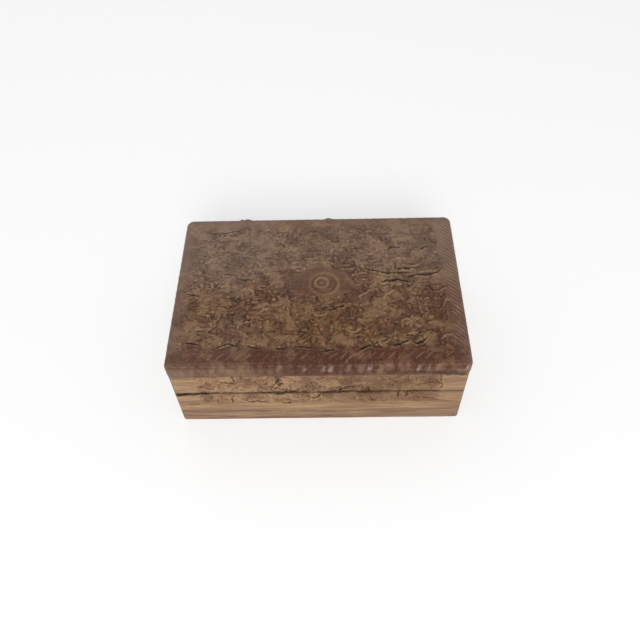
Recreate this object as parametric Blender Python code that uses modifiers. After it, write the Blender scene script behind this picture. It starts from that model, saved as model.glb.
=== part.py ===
"""A carved wooden box with a hinged lid, made as its separate boards, hinges and fixings.

Metres, +Z up. The origin is the middle of the underside, the front faces -Y and the hinges are at the back.
"""

import math

import bmesh
import bpy
from mathutils import Matrix, Vector

# Body of boards mitred at the corners
BODY_WIDTH = 0.198
BODY_DEPTH = 0.133
WALL_THICKNESS = 0.010
BASE_HEIGHT = 0.0357
LID_RAIL_HEIGHT = 0.0227
RIM_GAP = 0.0006
CORNER_RADIUS = 0.0025
GLUE_GAP = 0.0003

# Carved top board
TOP_THICKNESS = 0.0107
TOP_OVERHANG = 0.001
TOP_CORNER_RADIUS = 0.0055
TOP_EDGE_ROUND = 0.0045
BORDER_AT_ENDS = 0.012
BORDER_AT_FRONT = 0.0145
FIELD_CORNER_RADIUS = 0.003
FIELD_DEPTH = 0.0005

# Rope border of slanting gouge cuts, and flutes over the rounded edge
STROKE_PITCH = 0.0062
STROKE_LENGTH = 0.0092
STROKE_WIDTH = 0.0028
STROKE_DEPTH = 0.0009
STROKE_SLANT = math.radians(45.0)
FLUTE_PITCH = 0.0070
FLUTE_LENGTH = 0.0120
FLUTE_WIDTH = 0.0046
FLUTE_DEPTH = 0.0011

# Ornament in the middle of the top
CARTOUCHE_LENGTH = 0.044
CARTOUCHE_WIDTH = 0.032
CARTOUCHE_HEIGHT = 0.0002
ROSETTE_RADIUS = 0.0108
ROSETTE_HEIGHT = 0.0003
ORNAMENT_SETBACK = 0.0035

# Leaves in relief, and the sunk panels of the rails and walls that they stand in
LEAF_HEIGHT = 0.0009
TOP_LEAF_HEIGHT = 0.0003
TOP_LEAF_REACH = 0.0150
RAIL_LEAF_REACH = 0.0122
WALL_LEAF_REACH = 0.0080
PANEL_LEAF_PITCH = 0.0235
PANEL_MARGIN = 0.0165
PANEL_DEPTH = 0.0010
RAIL_PANEL_TOP_MARGIN = 0.0015
WALL_PANEL_HEIGHT = 0.0140

# Bottom board in its rabbet, and the panel pins that hold it
BOTTOM_THICKNESS = 0.005
RABBET_WIDTH = 0.005
PANEL_PIN_RADIUS = 0.0007
PANEL_PIN_LENGTH = 0.0130
PANEL_PIN_HEAD_RADIUS = 0.0013
PANEL_PIN_HEAD_THICKNESS = 0.0005
PANEL_PIN_POINT_LENGTH = 0.0015
PANEL_PIN_SINK = 0.0002

# Butt hinges let into the back rims, whose bevels stop the lid
HINGE_LENGTH = 0.026
HINGE_INSET = 0.028
PIVOT_SETBACK = 0.0023
STOP_ANGLE = math.radians(100.0)
STOP_CLEARANCE = 0.0004
LEAF_THICKNESS = 0.001
LEAF_MARGIN = 0.0005
KNUCKLE_RADIUS = 0.0021
KNUCKLE_GAP = 0.0003
KNUCKLE_COUNT = 5
TONGUE_SETBACK = 0.00015
HINGE_PIN_RADIUS = 0.0008
HINGE_PIN_HEAD_RADIUS = 0.0014
HINGE_PIN_HEAD_THICKNESS = 0.0006
FIT_CLEARANCE = 0.0003

# Slotted countersunk screws
SCREW_LENGTH = 0.0095
SCREW_RADIUS = 0.0010
SCREW_HEAD_RADIUS = 0.0017
SCREW_HEAD_HEIGHT = 0.0007
SCREW_POINT_LENGTH = 0.0025
SCREW_SLOT_WIDTH = 0.0005
SCREW_SLOT_DEPTH = 0.00035
SCREW_SPREAD = 0.0165

CUT_OVERRUN = 0.004

# Five lobes of a leaf: the turn of each from the leaf's heading, and its length as a share of its reach
LOBE_TURNS = [math.radians(a) for a in (0.0, 52.0, -52.0, 104.0, -104.0)]
LOBE_LENGTH_SHARES = (1.0, 0.84, 0.84, 0.64, 0.64)
LOBE_START_SHARE = 0.2
LOBE_WIDTH_SHARE = 0.34

# How far the stalk end of a leaf in a panel lies behind the leaf's place, as a share of its reach
STALK_SHARE = 0.3

# Leaves on one half of the top: places as shares of the field's half length and half depth
TOP_LEAF_SHARES = (
    (0.72, 0.62),
    (0.72, -0.62),
    (0.38, 0.62),
    (0.38, -0.62),
    (0.72, 0.0),
    (0.0, 0.68),
    (0.0, -0.64),
)

# The longest cuts and splits between the leaves of the top, each from one end to the other
DEEP_CUTS = (
    ((-0.083, 0.053), (-0.062, 0.0535)),
    ((-0.056, 0.007), (-0.045, 0.006)),
    ((-0.066, -0.051), (-0.053, -0.050)),
    ((0.034, 0.0155), (0.064, 0.011)),
    ((0.065, 0.008), (0.087, 0.012)),
    ((0.045, 0.003), (0.065, 0.003)),
    ((0.028, -0.0545), (0.039, -0.049)),
    ((0.050, -0.0515), (0.072, -0.045)),
)
DEEP_CUT_WIDTH = 0.0020
DEEP_CUT_DEPTH = 0.0009

# Ring profile of the rosette from its middle to its rim: shares of its radius and of its height
ROSETTE_SHARES = (
    (0.00, 0.65),
    (0.12, 0.85),
    (0.22, 0.20),
    (0.36, 0.95),
    (0.46, 0.20),
    (0.58, 0.80),
    (0.70, 0.20),
    (0.82, 0.90),
    (0.93, 1.00),
    (1.00, 0.20),
)

# Facet counts
CORNER_STEPS = 3
EDGE_STEPS = 3
OVAL_STEPS = 32
ROSETTE_SIDES = 24
KNUCKLE_SIDES = 16
FIXING_SIDES = 10
LOBE_SIDES = 6
GOUGE_SIDES = 4
LOBE_RINGS = 4
GOUGE_RINGS = 3

# Places worked out from the sizes
QUARTER = math.pi / 2
LID_RIM_Z = BASE_HEIGHT + RIM_GAP
RAIL_TOP_Z = LID_RIM_Z + LID_RAIL_HEIGHT
TOP_LOW_Z = RAIL_TOP_Z + GLUE_GAP
TOP_Z = TOP_LOW_Z + TOP_THICKNESS
TOP_WIDTH = BODY_WIDTH + 2 * TOP_OVERHANG
TOP_DEPTH = BODY_DEPTH + 2 * TOP_OVERHANG
FIELD_WIDTH = TOP_WIDTH - 2 * BORDER_AT_ENDS
FIELD_LENGTH = TOP_DEPTH - 2 * BORDER_AT_FRONT
FIELD_Z = TOP_Z - FIELD_DEPTH
PIVOT = Vector((0, BODY_DEPTH / 2 - PIVOT_SETBACK, BASE_HEIGHT + RIM_GAP / 2))
LEAF_REACH = WALL_THICKNESS - PIVOT_SETBACK - LEAF_MARGIN
KNUCKLE_ROOM = KNUCKLE_RADIUS + FIT_CLEARANCE
SCREW_REACH = (KNUCKLE_ROOM + LEAF_REACH) / 2
HINGE_X = BODY_WIDTH / 2 - HINGE_INSET - HINGE_LENGTH / 2
SIDE_TURNS = {"front": 0, "right": 1, "back": 2, "left": 3}


# Scene, collections and materials

def clear_scene():
    for obj in list(bpy.data.objects):
        bpy.data.objects.remove(obj)


def make_collection(name):
    found = bpy.data.collections.new(name)
    bpy.context.scene.collection.children.link(found)
    return found


def make_material(name, colour, roughness, metallic):
    material = bpy.data.materials.new(name)
    material.use_nodes = True
    shader = material.node_tree.nodes["Principled BSDF"]
    shader.inputs["Base Color"].default_value = (*colour, 1)
    shader.inputs["Roughness"].default_value = roughness
    shader.inputs["Metallic"].default_value = metallic
    material.diffuse_color = (*colour, 1)
    return material


clear_scene()
BOX = make_collection("carved_wooden_box")
CUTTERS = make_collection("cutters")
DARK_WOOD = make_material("dark_heartwood", (0.17, 0.095, 0.06), 0.5, 0)
PALE_WOOD = make_material("pale_sapwood", (0.29, 0.18, 0.10), 0.55, 0)
PLAIN_WOOD = make_material("plain_board", (0.38, 0.26, 0.15), 0.7, 0)
BRASS = make_material("brass", (0.62, 0.44, 0.18), 0.4, 1)
STEEL = make_material("steel", (0.42, 0.40, 0.38), 0.45, 1)


# Shapes

def object_from(bm, name, collection, material=None):
    mesh = bpy.data.meshes.new(name)
    bmesh.ops.recalc_face_normals(bm, faces=bm.faces)
    bm.to_mesh(mesh)
    bm.free()
    obj = bpy.data.objects.new(name, mesh)
    collection.objects.link(obj)
    if material:
        mesh.materials.append(material)
    if collection is CUTTERS:
        obj.hide_render = True
        obj.display_type = "WIRE"
    return obj


def carried_by(obj, parent):
    """Hangs obj on an empty without moving it."""
    if parent:
        obj.parent = parent
        obj.matrix_parent_inverse = Matrix.Translation(-parent.location)


def combine(target, other, operation):
    step = target.modifiers.new(f"{operation.lower()} {other.name}", "BOOLEAN")
    step.operation = operation
    step.solver = "EXACT"
    step.object = other
    carried_by(other, target.parent)


def block(name, low, high, collection, material=None):
    bm = bmesh.new()
    middle = (Vector(low) + Vector(high)) / 2
    size = Vector(high) - Vector(low)
    bmesh.ops.create_cube(bm, size=1, matrix=Matrix.Translation(middle) @ Matrix.Diagonal((*size, 1)))
    return object_from(bm, name, collection, material)


def bar_along_x(name, radius, low_x, high_x, sides, collection, material=None):
    """A round bar on the hinge axis between two places along it."""
    bm = bmesh.new()
    middle = PIVOT + Vector(((low_x + high_x) / 2, 0, 0))
    place = Matrix.Translation(middle) @ Matrix.Rotation(QUARTER, 4, "Y")
    bmesh.ops.create_cone(
        bm, cap_ends=True, segments=sides, radius1=radius, radius2=radius, depth=high_x - low_x, matrix=place
    )
    return object_from(bm, name, collection, material)


def turned_piece(name, profile, place, sides, collection, material=None):
    """A round piece. Its profile runs from the axis at the top down its outer side and back to the axis."""
    bm = bmesh.new()
    corners = [bm.verts.new((radius, 0, height)) for radius, height in profile]
    for first, second in zip(corners, corners[1:]):
        bm.edges.new((first, second))
    obj = object_from(bm, name, collection, material)
    obj.matrix_world = place
    turn = obj.modifiers.new("turned", "SCREW")
    turn.steps = sides
    turn.render_steps = sides
    turn.use_merge_vertices = True
    turn.merge_threshold = GLUE_GAP / 10
    return obj


def prism(name, outline, low_z, high_z, collection, material=None):
    """A flat outline raised between two heights, as one closed mesh."""
    curve = bpy.data.curves.new(name, "CURVE")
    curve.dimensions = "2D"
    curve.fill_mode = "BOTH"
    curve.extrude = (high_z - low_z) / 2
    spline = curve.splines.new("POLY")
    spline.points.add(len(outline) - 1)
    for point, (x, y) in zip(spline.points, outline):
        point.co = (x, y, 0, 1)
    spline.use_cyclic_u = True
    flat = bpy.data.objects.new(name, curve)
    flat.location.z = (high_z + low_z) / 2
    bpy.context.scene.collection.objects.link(flat)
    bpy.context.view_layer.update()
    mesh = bpy.data.meshes.new_from_object(flat.evaluated_get(bpy.context.evaluated_depsgraph_get()))
    bm = bmesh.new()
    bm.from_mesh(mesh)
    bmesh.ops.transform(bm, matrix=flat.matrix_world, verts=bm.verts)
    bmesh.ops.remove_doubles(bm, verts=bm.verts, dist=GLUE_GAP / 10)
    bpy.data.objects.remove(flat)
    bpy.data.curves.remove(curve)
    bpy.data.meshes.remove(mesh)
    return object_from(bm, name, collection, material)


def arc(centre, radius, start, end, steps):
    turns = [start + (end - start) * k / steps for k in range(steps + 1)]
    return [(centre[0] + radius * math.cos(a), centre[1] + radius * math.sin(a)) for a in turns]


def rounded_rectangle(width, depth, radius):
    points = []
    for k, (sx, sy) in enumerate(((1, -1), (1, 1), (-1, 1), (-1, -1))):
        centre = (sx * (width / 2 - radius), sy * (depth / 2 - radius))
        points += arc(centre, radius, (k - 1) * QUARTER, k * QUARTER, 2 * CORNER_STEPS)
    return points


def spindle(bm, place, length, width, height, sides, rings):
    """A pointed spindle along the local X of place, with an edge on top. height is half its thickness."""
    sizes = Matrix.Diagonal((height, width / 2, length / 2, 1))
    shape = place @ Matrix.Rotation(QUARTER, 4, "Y") @ sizes
    bmesh.ops.create_uvsphere(bm, u_segments=sides, v_segments=rings, radius=1, matrix=shape)


def evenly(run, pitch):
    """Places along a run, centred on it, as near to the pitch as a whole number of them allows."""
    count = max(1, round(run / pitch))
    return [run * ((k + 0.5) / count - 0.5) for k in range(count)]


# Boards of the base and the lid

def run_and_offset(side):
    """The length of the body along a side, and how far that side's outer face is from the middle."""
    if side in ("front", "back"):
        return BODY_WIDTH, BODY_DEPTH / 2
    return BODY_DEPTH, BODY_WIDTH / 2


def facing(side):
    """Turns what is made for the front, whose outer face is at -Y, to another side."""
    return Matrix.Rotation(SIDE_TURNS[side] * QUARTER, 4, "Z")


def mitred_outline(side):
    """A board seen from above, before it is turned: mitred ends, each with half of a rounded corner."""
    run, offset = run_and_offset(side)
    half = run / 2
    slip = GLUE_GAP * math.sqrt(0.5)
    centre = (half - CORNER_RADIUS, CORNER_RADIUS - offset)
    last = -QUARTER / 2 - math.asin(slip / (math.sqrt(2) * CORNER_RADIUS))
    right = arc(centre, CORNER_RADIUS, -QUARTER, last, CORNER_STEPS)
    right.append((half - WALL_THICKNESS - slip, WALL_THICKNESS - offset))
    return right + [(-x, y) for x, y in reversed(right)]


def make_board(name, side, low_z, high_z, parent):
    board = prism(name, mitred_outline(side), low_z, high_z, BOX, PALE_WOOD)
    board.matrix_world = facing(side)
    carried_by(board, parent)
    return board


def palmate_leaf(bm, face, x, y, heading, reach, height):
    """A leaf of five lobes that spread from its stalk end at x, y. face is the plane that it lies on."""
    for turn, share in zip(LOBE_TURNS, LOBE_LENGTH_SHARES):
        start = reach * LOBE_START_SHARE
        length = reach * share - start
        along = Matrix.Rotation(heading + turn, 4, "Z") @ Matrix.Translation((start + length / 2, 0, 0))
        place = face @ Matrix.Translation((x, y, 0)) @ along
        spindle(bm, place, length, reach * LOBE_WIDTH_SHARE, height, LOBE_SIDES, LOBE_RINGS)


def carve_panel(board, side, low_z, high_z, leaf_z, reach, headings):
    """Sinks a panel into a board's outer face, with a row of leaves in it that take turns at headings."""
    run, offset = run_and_offset(side)
    half = run / 2 - PANEL_MARGIN
    low = (-half, -offset - CUT_OVERRUN, low_z)
    ground = block(f"{board.name} ground", low, (half, PANEL_DEPTH - offset, high_z), CUTTERS)
    ground.matrix_world = facing(side)
    combine(board, ground, "DIFFERENCE")
    upright = Matrix.Translation((0, PANEL_DEPTH - offset, leaf_z)) @ Matrix.Rotation(QUARTER, 4, "X")
    bm = bmesh.new()
    for k, x in enumerate(evenly(2 * half, PANEL_LEAF_PITCH)):
        heading = headings[k % len(headings)]
        stalk = Matrix.Rotation(heading, 4, "Z") @ Vector((-STALK_SHARE * reach, 0, 0))
        palmate_leaf(bm, facing(side) @ upright, x + stalk.x, stalk.y, heading, reach, LEAF_HEIGHT)
    combine(board, object_from(bm, f"{board.name} leaves", CUTTERS), "UNION")


# Rims at the back: hinge seats, and the bevels that stop the lid

def bevel_back_rim(board, up):
    """Bevels the back rim out from the hinge axis by half the stop angle. up is 1 on the lid."""
    half = Vector((BODY_WIDTH, BODY_DEPTH, 0)) / 2
    low = (-half.x - CUT_OVERRUN, -CUT_OVERRUN, -STOP_CLEARANCE / 2)
    high = (half.x + CUT_OVERRUN, PIVOT_SETBACK + CUT_OVERRUN, CUT_OVERRUN)
    wedge = block(f"{board.name} bevel", low, high, CUTTERS)
    flip = Matrix.Diagonal((1, 1, -up, 1))
    wedge.data.transform(Matrix.Translation(PIVOT) @ flip @ Matrix.Rotation(-STOP_ANGLE / 2, 4, "X"))
    if up > 0:
        wedge.data.flip_normals()
    combine(board, wedge, "DIFFERENCE")


def knuckle_room_half_length():
    return HINGE_LENGTH / 2 + KNUCKLE_GAP + HINGE_PIN_HEAD_THICKNESS + FIT_CLEARANCE


def cut_hinge_seats(board, up):
    """Lets both hinges into the rim: a shallow seat for each leaf, and a round trough for its knuckles."""
    for hand, sign in (("left", -1), ("right", 1)):
        x = sign * HINGE_X
        half = HINGE_LENGTH / 2 + FIT_CLEARANCE
        floor = PIVOT.z + up * (RIM_GAP / 2 + LEAF_THICKNESS + FIT_CLEARANCE)
        low = (x - half, PIVOT.y - LEAF_REACH - FIT_CLEARANCE, min(floor, PIVOT.z))
        high = (x + half, PIVOT.y, max(floor, PIVOT.z))
        combine(board, block(f"{board.name} {hand} seat", low, high, CUTTERS), "DIFFERENCE")
        reach = knuckle_room_half_length()
        name = f"{board.name} {hand} trough"
        trough = bar_along_x(name, KNUCKLE_ROOM, x - reach, x + reach, KNUCKLE_SIDES, CUTTERS)
        combine(board, trough, "DIFFERENCE")


# Hinges and their screws

def screw_profile(spare):
    """Half of a screw that points down from a head at height zero. spare widens it to its hole."""
    head, shank = SCREW_HEAD_RADIUS + spare, SCREW_RADIUS + spare
    tip = -SCREW_LENGTH - spare
    profile = [(0, 0), (head, 0), (shank, -SCREW_HEAD_HEIGHT), (shank, tip + SCREW_POINT_LENGTH), (0, tip)]
    if spare:
        profile[0] = (0, CUT_OVERRUN)
        profile.insert(1, (head, CUT_OVERRUN))
    return profile


def screw_places(hinge_x, up):
    """The head of each screw lies in its leaf's outer face, just under the rim."""
    turn = Matrix.Rotation(math.pi, 4, "X") if up > 0 else Matrix.Identity(4)
    z = PIVOT.z + up * RIM_GAP / 2
    xs = (hinge_x - SCREW_SPREAD / 2, hinge_x + SCREW_SPREAD / 2)
    return [Matrix.Translation((x, PIVOT.y - SCREW_REACH, z)) @ turn for x in xs]


def make_screws(hand, part, hinge_x, up, parent):
    for k, place in enumerate(screw_places(hinge_x, up)):
        name = f"{hand}_hinge_{part}_screw_{k + 1}"
        screw = turned_piece(name, screw_profile(0), place, FIXING_SIDES, BOX, BRASS)
        half = Vector((SCREW_HEAD_RADIUS + CUT_OVERRUN, SCREW_SLOT_WIDTH / 2, 0))
        low = (-half.x, -half.y, -SCREW_SLOT_DEPTH)
        slot = block(f"{name} slot", low, (half.x, half.y, CUT_OVERRUN), CUTTERS)
        slot.matrix_world = place
        carried_by(screw, parent)
        combine(screw, slot, "DIFFERENCE")


def drill_screw_holes(target, hinge_x, up):
    for k, place in enumerate(screw_places(hinge_x, up)):
        name = f"{target.name} screw hole {hinge_x:+.3f} {k + 1}"
        hole = turned_piece(name, screw_profile(FIT_CLEARANCE), place, FIXING_SIDES, CUTTERS)
        combine(target, hole, "DIFFERENCE")


def knuckle_spans(hinge_x):
    """The stretch of each knuckle along the hinge, with half a gap left at each end of it."""
    pitch = HINGE_LENGTH / KNUCKLE_COUNT
    starts = [hinge_x - HINGE_LENGTH / 2 + k * pitch for k in range(KNUCKLE_COUNT)]
    return [(start + KNUCKLE_GAP / 2, start + pitch - KNUCKLE_GAP / 2) for start in starts]


def make_hinge_leaf(hand, part, hinge_x, up, parent):
    """A plate cut away round the other leaf's knuckles. Its own are rolled on slightly narrower tongues."""
    name = f"{hand}_hinge_{part}_leaf"
    near, far = sorted((PIVOT.z + up * RIM_GAP / 2, PIVOT.z + up * (RIM_GAP / 2 + LEAF_THICKNESS)))
    low = (hinge_x - HINGE_LENGTH / 2, PIVOT.y - LEAF_REACH, near)
    leaf = block(name, low, (hinge_x + HINGE_LENGTH / 2, PIVOT.y, far), BOX, BRASS)
    carried_by(leaf, parent)
    spans = knuckle_spans(hinge_x)
    own = 1 if up > 0 else 0
    for start, end in spans[1 - own::2]:
        ends = (start - TONGUE_SETBACK - KNUCKLE_GAP, end + TONGUE_SETBACK + KNUCKLE_GAP)
        room = bar_along_x(f"{name} room", KNUCKLE_ROOM, *ends, KNUCKLE_SIDES, CUTTERS)
        combine(leaf, room, "DIFFERENCE")
    for start, end in spans[own::2]:
        knuckle = bar_along_x(f"{name} knuckle", KNUCKLE_RADIUS, start, end, KNUCKLE_SIDES, CUTTERS)
        combine(leaf, knuckle, "UNION")
    reach = HINGE_LENGTH / 2 + CUT_OVERRUN
    radius = HINGE_PIN_RADIUS + FIT_CLEARANCE
    bore = bar_along_x(f"{name} bore", radius, hinge_x - reach, hinge_x + reach, FIXING_SIDES, CUTTERS)
    combine(leaf, bore, "DIFFERENCE")
    drill_screw_holes(leaf, hinge_x, up)


def make_hinge_pin(hand, hinge_x):
    """A straight pin with both ends beaten over into low heads."""
    shank = HINGE_LENGTH / 2 + KNUCKLE_GAP
    end = shank + HINGE_PIN_HEAD_THICKNESS
    profile = [
        (0, end),
        (HINGE_PIN_RADIUS, end),
        (HINGE_PIN_HEAD_RADIUS, shank),
        (HINGE_PIN_RADIUS, shank),
        (HINGE_PIN_RADIUS, -shank),
        (HINGE_PIN_HEAD_RADIUS, -shank),
        (HINGE_PIN_RADIUS, -end),
        (0, -end),
    ]
    place = Matrix.Translation(PIVOT + Vector((hinge_x, 0, 0))) @ Matrix.Rotation(QUARTER, 4, "Y")
    turned_piece(f"{hand}_hinge_pin", profile, place, FIXING_SIDES, BOX, STEEL)


def make_hinges(lid):
    for hand, sign in (("left", -1), ("right", 1)):
        x = sign * HINGE_X
        for part, up, parent in (("base", -1, None), ("lid", 1, lid)):
            make_hinge_leaf(hand, part, x, up, parent)
            make_screws(hand, part, x, up, parent)
        make_hinge_pin(hand, x)


# Lid

def make_top_board(parent):
    """The carved board that closes the lid: rounded edge, sunk field, rope border, rosette and leaves."""
    outline = rounded_rectangle(TOP_WIDTH, TOP_DEPTH, TOP_CORNER_RADIUS)
    board = prism("lid_top_board", outline, TOP_LOW_Z, TOP_Z, BOX, DARK_WOOD)
    bm = bmesh.new()
    bm.from_mesh(board.data)
    level = TOP_Z - TOP_THICKNESS / 2
    rim = [e for e in bm.edges if min(v.co.z for v in e.verts) > level and e.calc_face_angle(0) > QUARTER / 2]
    bmesh.ops.bevel(bm, geom=rim, offset=TOP_EDGE_ROUND, segments=EDGE_STEPS, profile=0.5, affect="EDGES")
    bm.to_mesh(board.data)
    bm.free()
    carried_by(board, parent)
    field = rounded_rectangle(FIELD_WIDTH, FIELD_LENGTH, FIELD_CORNER_RADIUS)
    combine(board, prism("top field", field, FIELD_Z, TOP_Z + CUT_OVERRUN, CUTTERS), "DIFFERENCE")
    cut_rope_border(board)
    cut_edge_flutes(board)
    raise_ornament(board)
    raise_top_leaves(board)
    cut_between_leaves(board)


def top_edges():
    """Each edge of the top: its turn, its length between the borders, its distance out and its border."""
    along_x = (FIELD_WIDTH, TOP_DEPTH / 2, BORDER_AT_FRONT)
    along_y = (FIELD_LENGTH, TOP_WIDTH / 2, BORDER_AT_ENDS)
    return [(facing(side), *(along_y if k % 2 else along_x)) for side, k in SIDE_TURNS.items()]


def cut_rope_border(board):
    """Slanting gouge strokes in the flat between the sunk field and the rounded edge."""
    bm = bmesh.new()
    for turn, length, offset, border in top_edges():
        middle = (TOP_EDGE_ROUND + border) / 2
        for x in evenly(length, STROKE_PITCH):
            slant = Matrix.Rotation(STROKE_SLANT, 4, "Z")
            place = turn @ Matrix.Translation((x, middle - offset, TOP_Z)) @ slant
            spindle(bm, place, STROKE_LENGTH, STROKE_WIDTH, STROKE_DEPTH, GOUGE_SIDES, GOUGE_RINGS)
    combine(board, object_from(bm, "rope strokes", CUTTERS), "DIFFERENCE")


def cut_edge_flutes(board):
    """Scoops over the rounded edge, each along the tangent at the middle of the rounding."""
    drop = TOP_EDGE_ROUND * (1 - math.sqrt(0.5))
    lean = Matrix.Rotation(QUARTER, 4, "Z") @ Matrix.Rotation(-QUARTER / 2, 4, "Y")
    bm = bmesh.new()
    for turn, length, offset, _ in top_edges():
        for x in evenly(length, FLUTE_PITCH):
            place = turn @ Matrix.Translation((x, drop - offset, TOP_Z - drop)) @ lean
            spindle(bm, place, FLUTE_LENGTH, FLUTE_WIDTH, FLUTE_DEPTH, GOUGE_SIDES, GOUGE_RINGS)
    combine(board, object_from(bm, "edge flutes", CUTTERS), "DIFFERENCE")


def raise_ornament(board):
    """An oval plate with a rosette of rings on it, both standing on the sunk ground."""
    root = FIELD_Z - FIELD_DEPTH
    half_length, half_width = CARTOUCHE_LENGTH / 2, CARTOUCHE_WIDTH / 2
    turns = [math.tau * k / OVAL_STEPS for k in range(OVAL_STEPS)]
    oval = [(half_length * math.cos(a), ORNAMENT_SETBACK + half_width * math.sin(a)) for a in turns]
    plate_z = FIELD_Z + CARTOUCHE_HEIGHT
    combine(board, prism("cartouche", oval, root, plate_z, CUTTERS), "UNION")
    rings = [(share * ROSETTE_RADIUS, rise * ROSETTE_HEIGHT) for share, rise in ROSETTE_SHARES]
    profile = rings + [(ROSETTE_RADIUS, root - plate_z), (0, root - plate_z)]
    place = Matrix.Translation((0, ORNAMENT_SETBACK, plate_z))
    combine(board, turned_piece("rosette", profile, place, ROSETTE_SIDES, CUTTERS), "UNION")


def cut_between_leaves(board):
    bm = bmesh.new()
    for start, end in DEEP_CUTS:
        run = Vector(end) - Vector(start)
        middle = Vector(start) + run / 2
        place = Matrix.Translation((*middle, FIELD_Z)) @ Matrix.Rotation(math.atan2(run.y, run.x), 4, "Z")
        spindle(bm, place, run.length, DEEP_CUT_WIDTH, DEEP_CUT_DEPTH, GOUGE_SIDES, GOUGE_RINGS)
    combine(board, object_from(bm, "deep cuts", CUTTERS), "DIFFERENCE")


def raise_top_leaves(board):
    face = Matrix.Translation((0, 0, FIELD_Z))
    bm = bmesh.new()
    for share_x, share_y in TOP_LEAF_SHARES:
        for sign in (1, -1) if share_x else (1,):
            x, y = sign * share_x * FIELD_WIDTH / 2, share_y * FIELD_LENGTH / 2
            palmate_leaf(bm, face, x, y, math.atan2(y, x), TOP_LEAF_REACH, TOP_LEAF_HEIGHT)
    combine(board, object_from(bm, "top leaves", CUTTERS), "UNION")


def make_lid():
    """The lid turns with its empty, which sits on the hinge axis."""
    lid = bpy.data.objects.new("lid_hinge_axis", None)
    lid.location = PIVOT
    BOX.objects.link(lid)
    make_top_board(lid)
    panel_top = RAIL_TOP_Z - RAIL_PANEL_TOP_MARGIN
    middle = (LID_RIM_Z + panel_top) / 2
    for side in SIDE_TURNS:
        rail = make_board(f"lid_{side}_rail", side, LID_RIM_Z, RAIL_TOP_Z, lid)
        if side == "back":
            cut_hinge_seats(rail, 1)
            for sign in (-1, 1):
                drill_screw_holes(rail, sign * HINGE_X, 1)
        else:
            low_z = LID_RIM_Z - CUT_OVERRUN
            carve_panel(rail, side, low_z, panel_top, middle, RAIL_LEAF_REACH, (QUARTER, -QUARTER))
        if side != "front":
            bevel_back_rim(rail, 1)
    return lid


# Base

def make_base():
    panel_low = BASE_HEIGHT - WALL_PANEL_HEIGHT
    middle = BASE_HEIGHT - WALL_PANEL_HEIGHT / 2
    for side in SIDE_TURNS:
        wall = make_board(f"base_{side}_wall", side, 0, BASE_HEIGHT, None)
        x, y = rabbet_half_sizes()
        room = (x, y, BOTTOM_THICKNESS + FIT_CLEARANCE)
        combine(wall, block(f"{wall.name} rabbet", (-x, -y, -CUT_OVERRUN), room, CUTTERS), "DIFFERENCE")
        if side == "back":
            cut_hinge_seats(wall, -1)
            for sign in (-1, 1):
                drill_screw_holes(wall, sign * HINGE_X, -1)
        else:
            high_z = BASE_HEIGHT + CUT_OVERRUN
            carve_panel(wall, side, panel_low, high_z, middle, WALL_LEAF_REACH, (0, math.pi))
        if side != "front":
            bevel_back_rim(wall, -1)
        drill_panel_pin_holes(wall, side)
    make_bottom_board()


def rabbet_half_sizes():
    left = WALL_THICKNESS - RABBET_WIDTH
    return BODY_WIDTH / 2 - left, BODY_DEPTH / 2 - left


def panel_pin_places():
    """Two pins in the foot of the front and the back wall, and one in each end: (side, x, y)."""
    x, y = (half - RABBET_WIDTH / 2 for half in rabbet_half_sizes())
    return [
        ("front", -x / 2, -y),
        ("front", x / 2, -y),
        ("right", x, 0),
        ("back", x / 2, y),
        ("back", -x / 2, y),
        ("left", -x, 0),
    ]


def panel_pin_profile(spare):
    """Half of a panel pin that points up, from its point down to its head. spare widens it to its hole."""
    shank, head = PANEL_PIN_RADIUS + spare, PANEL_PIN_HEAD_RADIUS + spare
    foot = -CUT_OVERRUN if spare else PANEL_PIN_SINK
    neck = PANEL_PIN_SINK + PANEL_PIN_HEAD_THICKNESS + spare
    tip = PANEL_PIN_LENGTH + spare
    shoulder = tip - PANEL_PIN_POINT_LENGTH
    return [(0, tip), (shank, shoulder), (shank, neck), (head, neck), (head, foot), (0, foot)]


def drill_panel_pin_holes(target, only_side=None):
    for k, (side, x, y) in enumerate(panel_pin_places()):
        if only_side in (None, side):
            place = Matrix.Translation((x, y, 0))
            name = f"{target.name} pin hole {k + 1}"
            hole = turned_piece(name, panel_pin_profile(FIT_CLEARANCE), place, FIXING_SIDES, CUTTERS)
            combine(target, hole, "DIFFERENCE")


def make_bottom_board():
    """The bottom lies in the rabbet, flush with the feet of the walls, and is pinned to them from below."""
    x, y = (half - FIT_CLEARANCE for half in rabbet_half_sizes())
    board = block("bottom_board", (-x, -y, 0), (x, y, BOTTOM_THICKNESS), BOX, PLAIN_WOOD)
    drill_panel_pin_holes(board)
    for k, (_, x, y) in enumerate(panel_pin_places()):
        place = Matrix.Translation((x, y, 0))
        turned_piece(f"bottom_panel_pin_{k + 1}", panel_pin_profile(0), place, FIXING_SIDES, BOX, STEEL)


make_base()
make_hinges(make_lid())
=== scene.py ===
import math

import bmesh
import bpy
import numpy as np
from mathutils import Matrix, Vector


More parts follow.
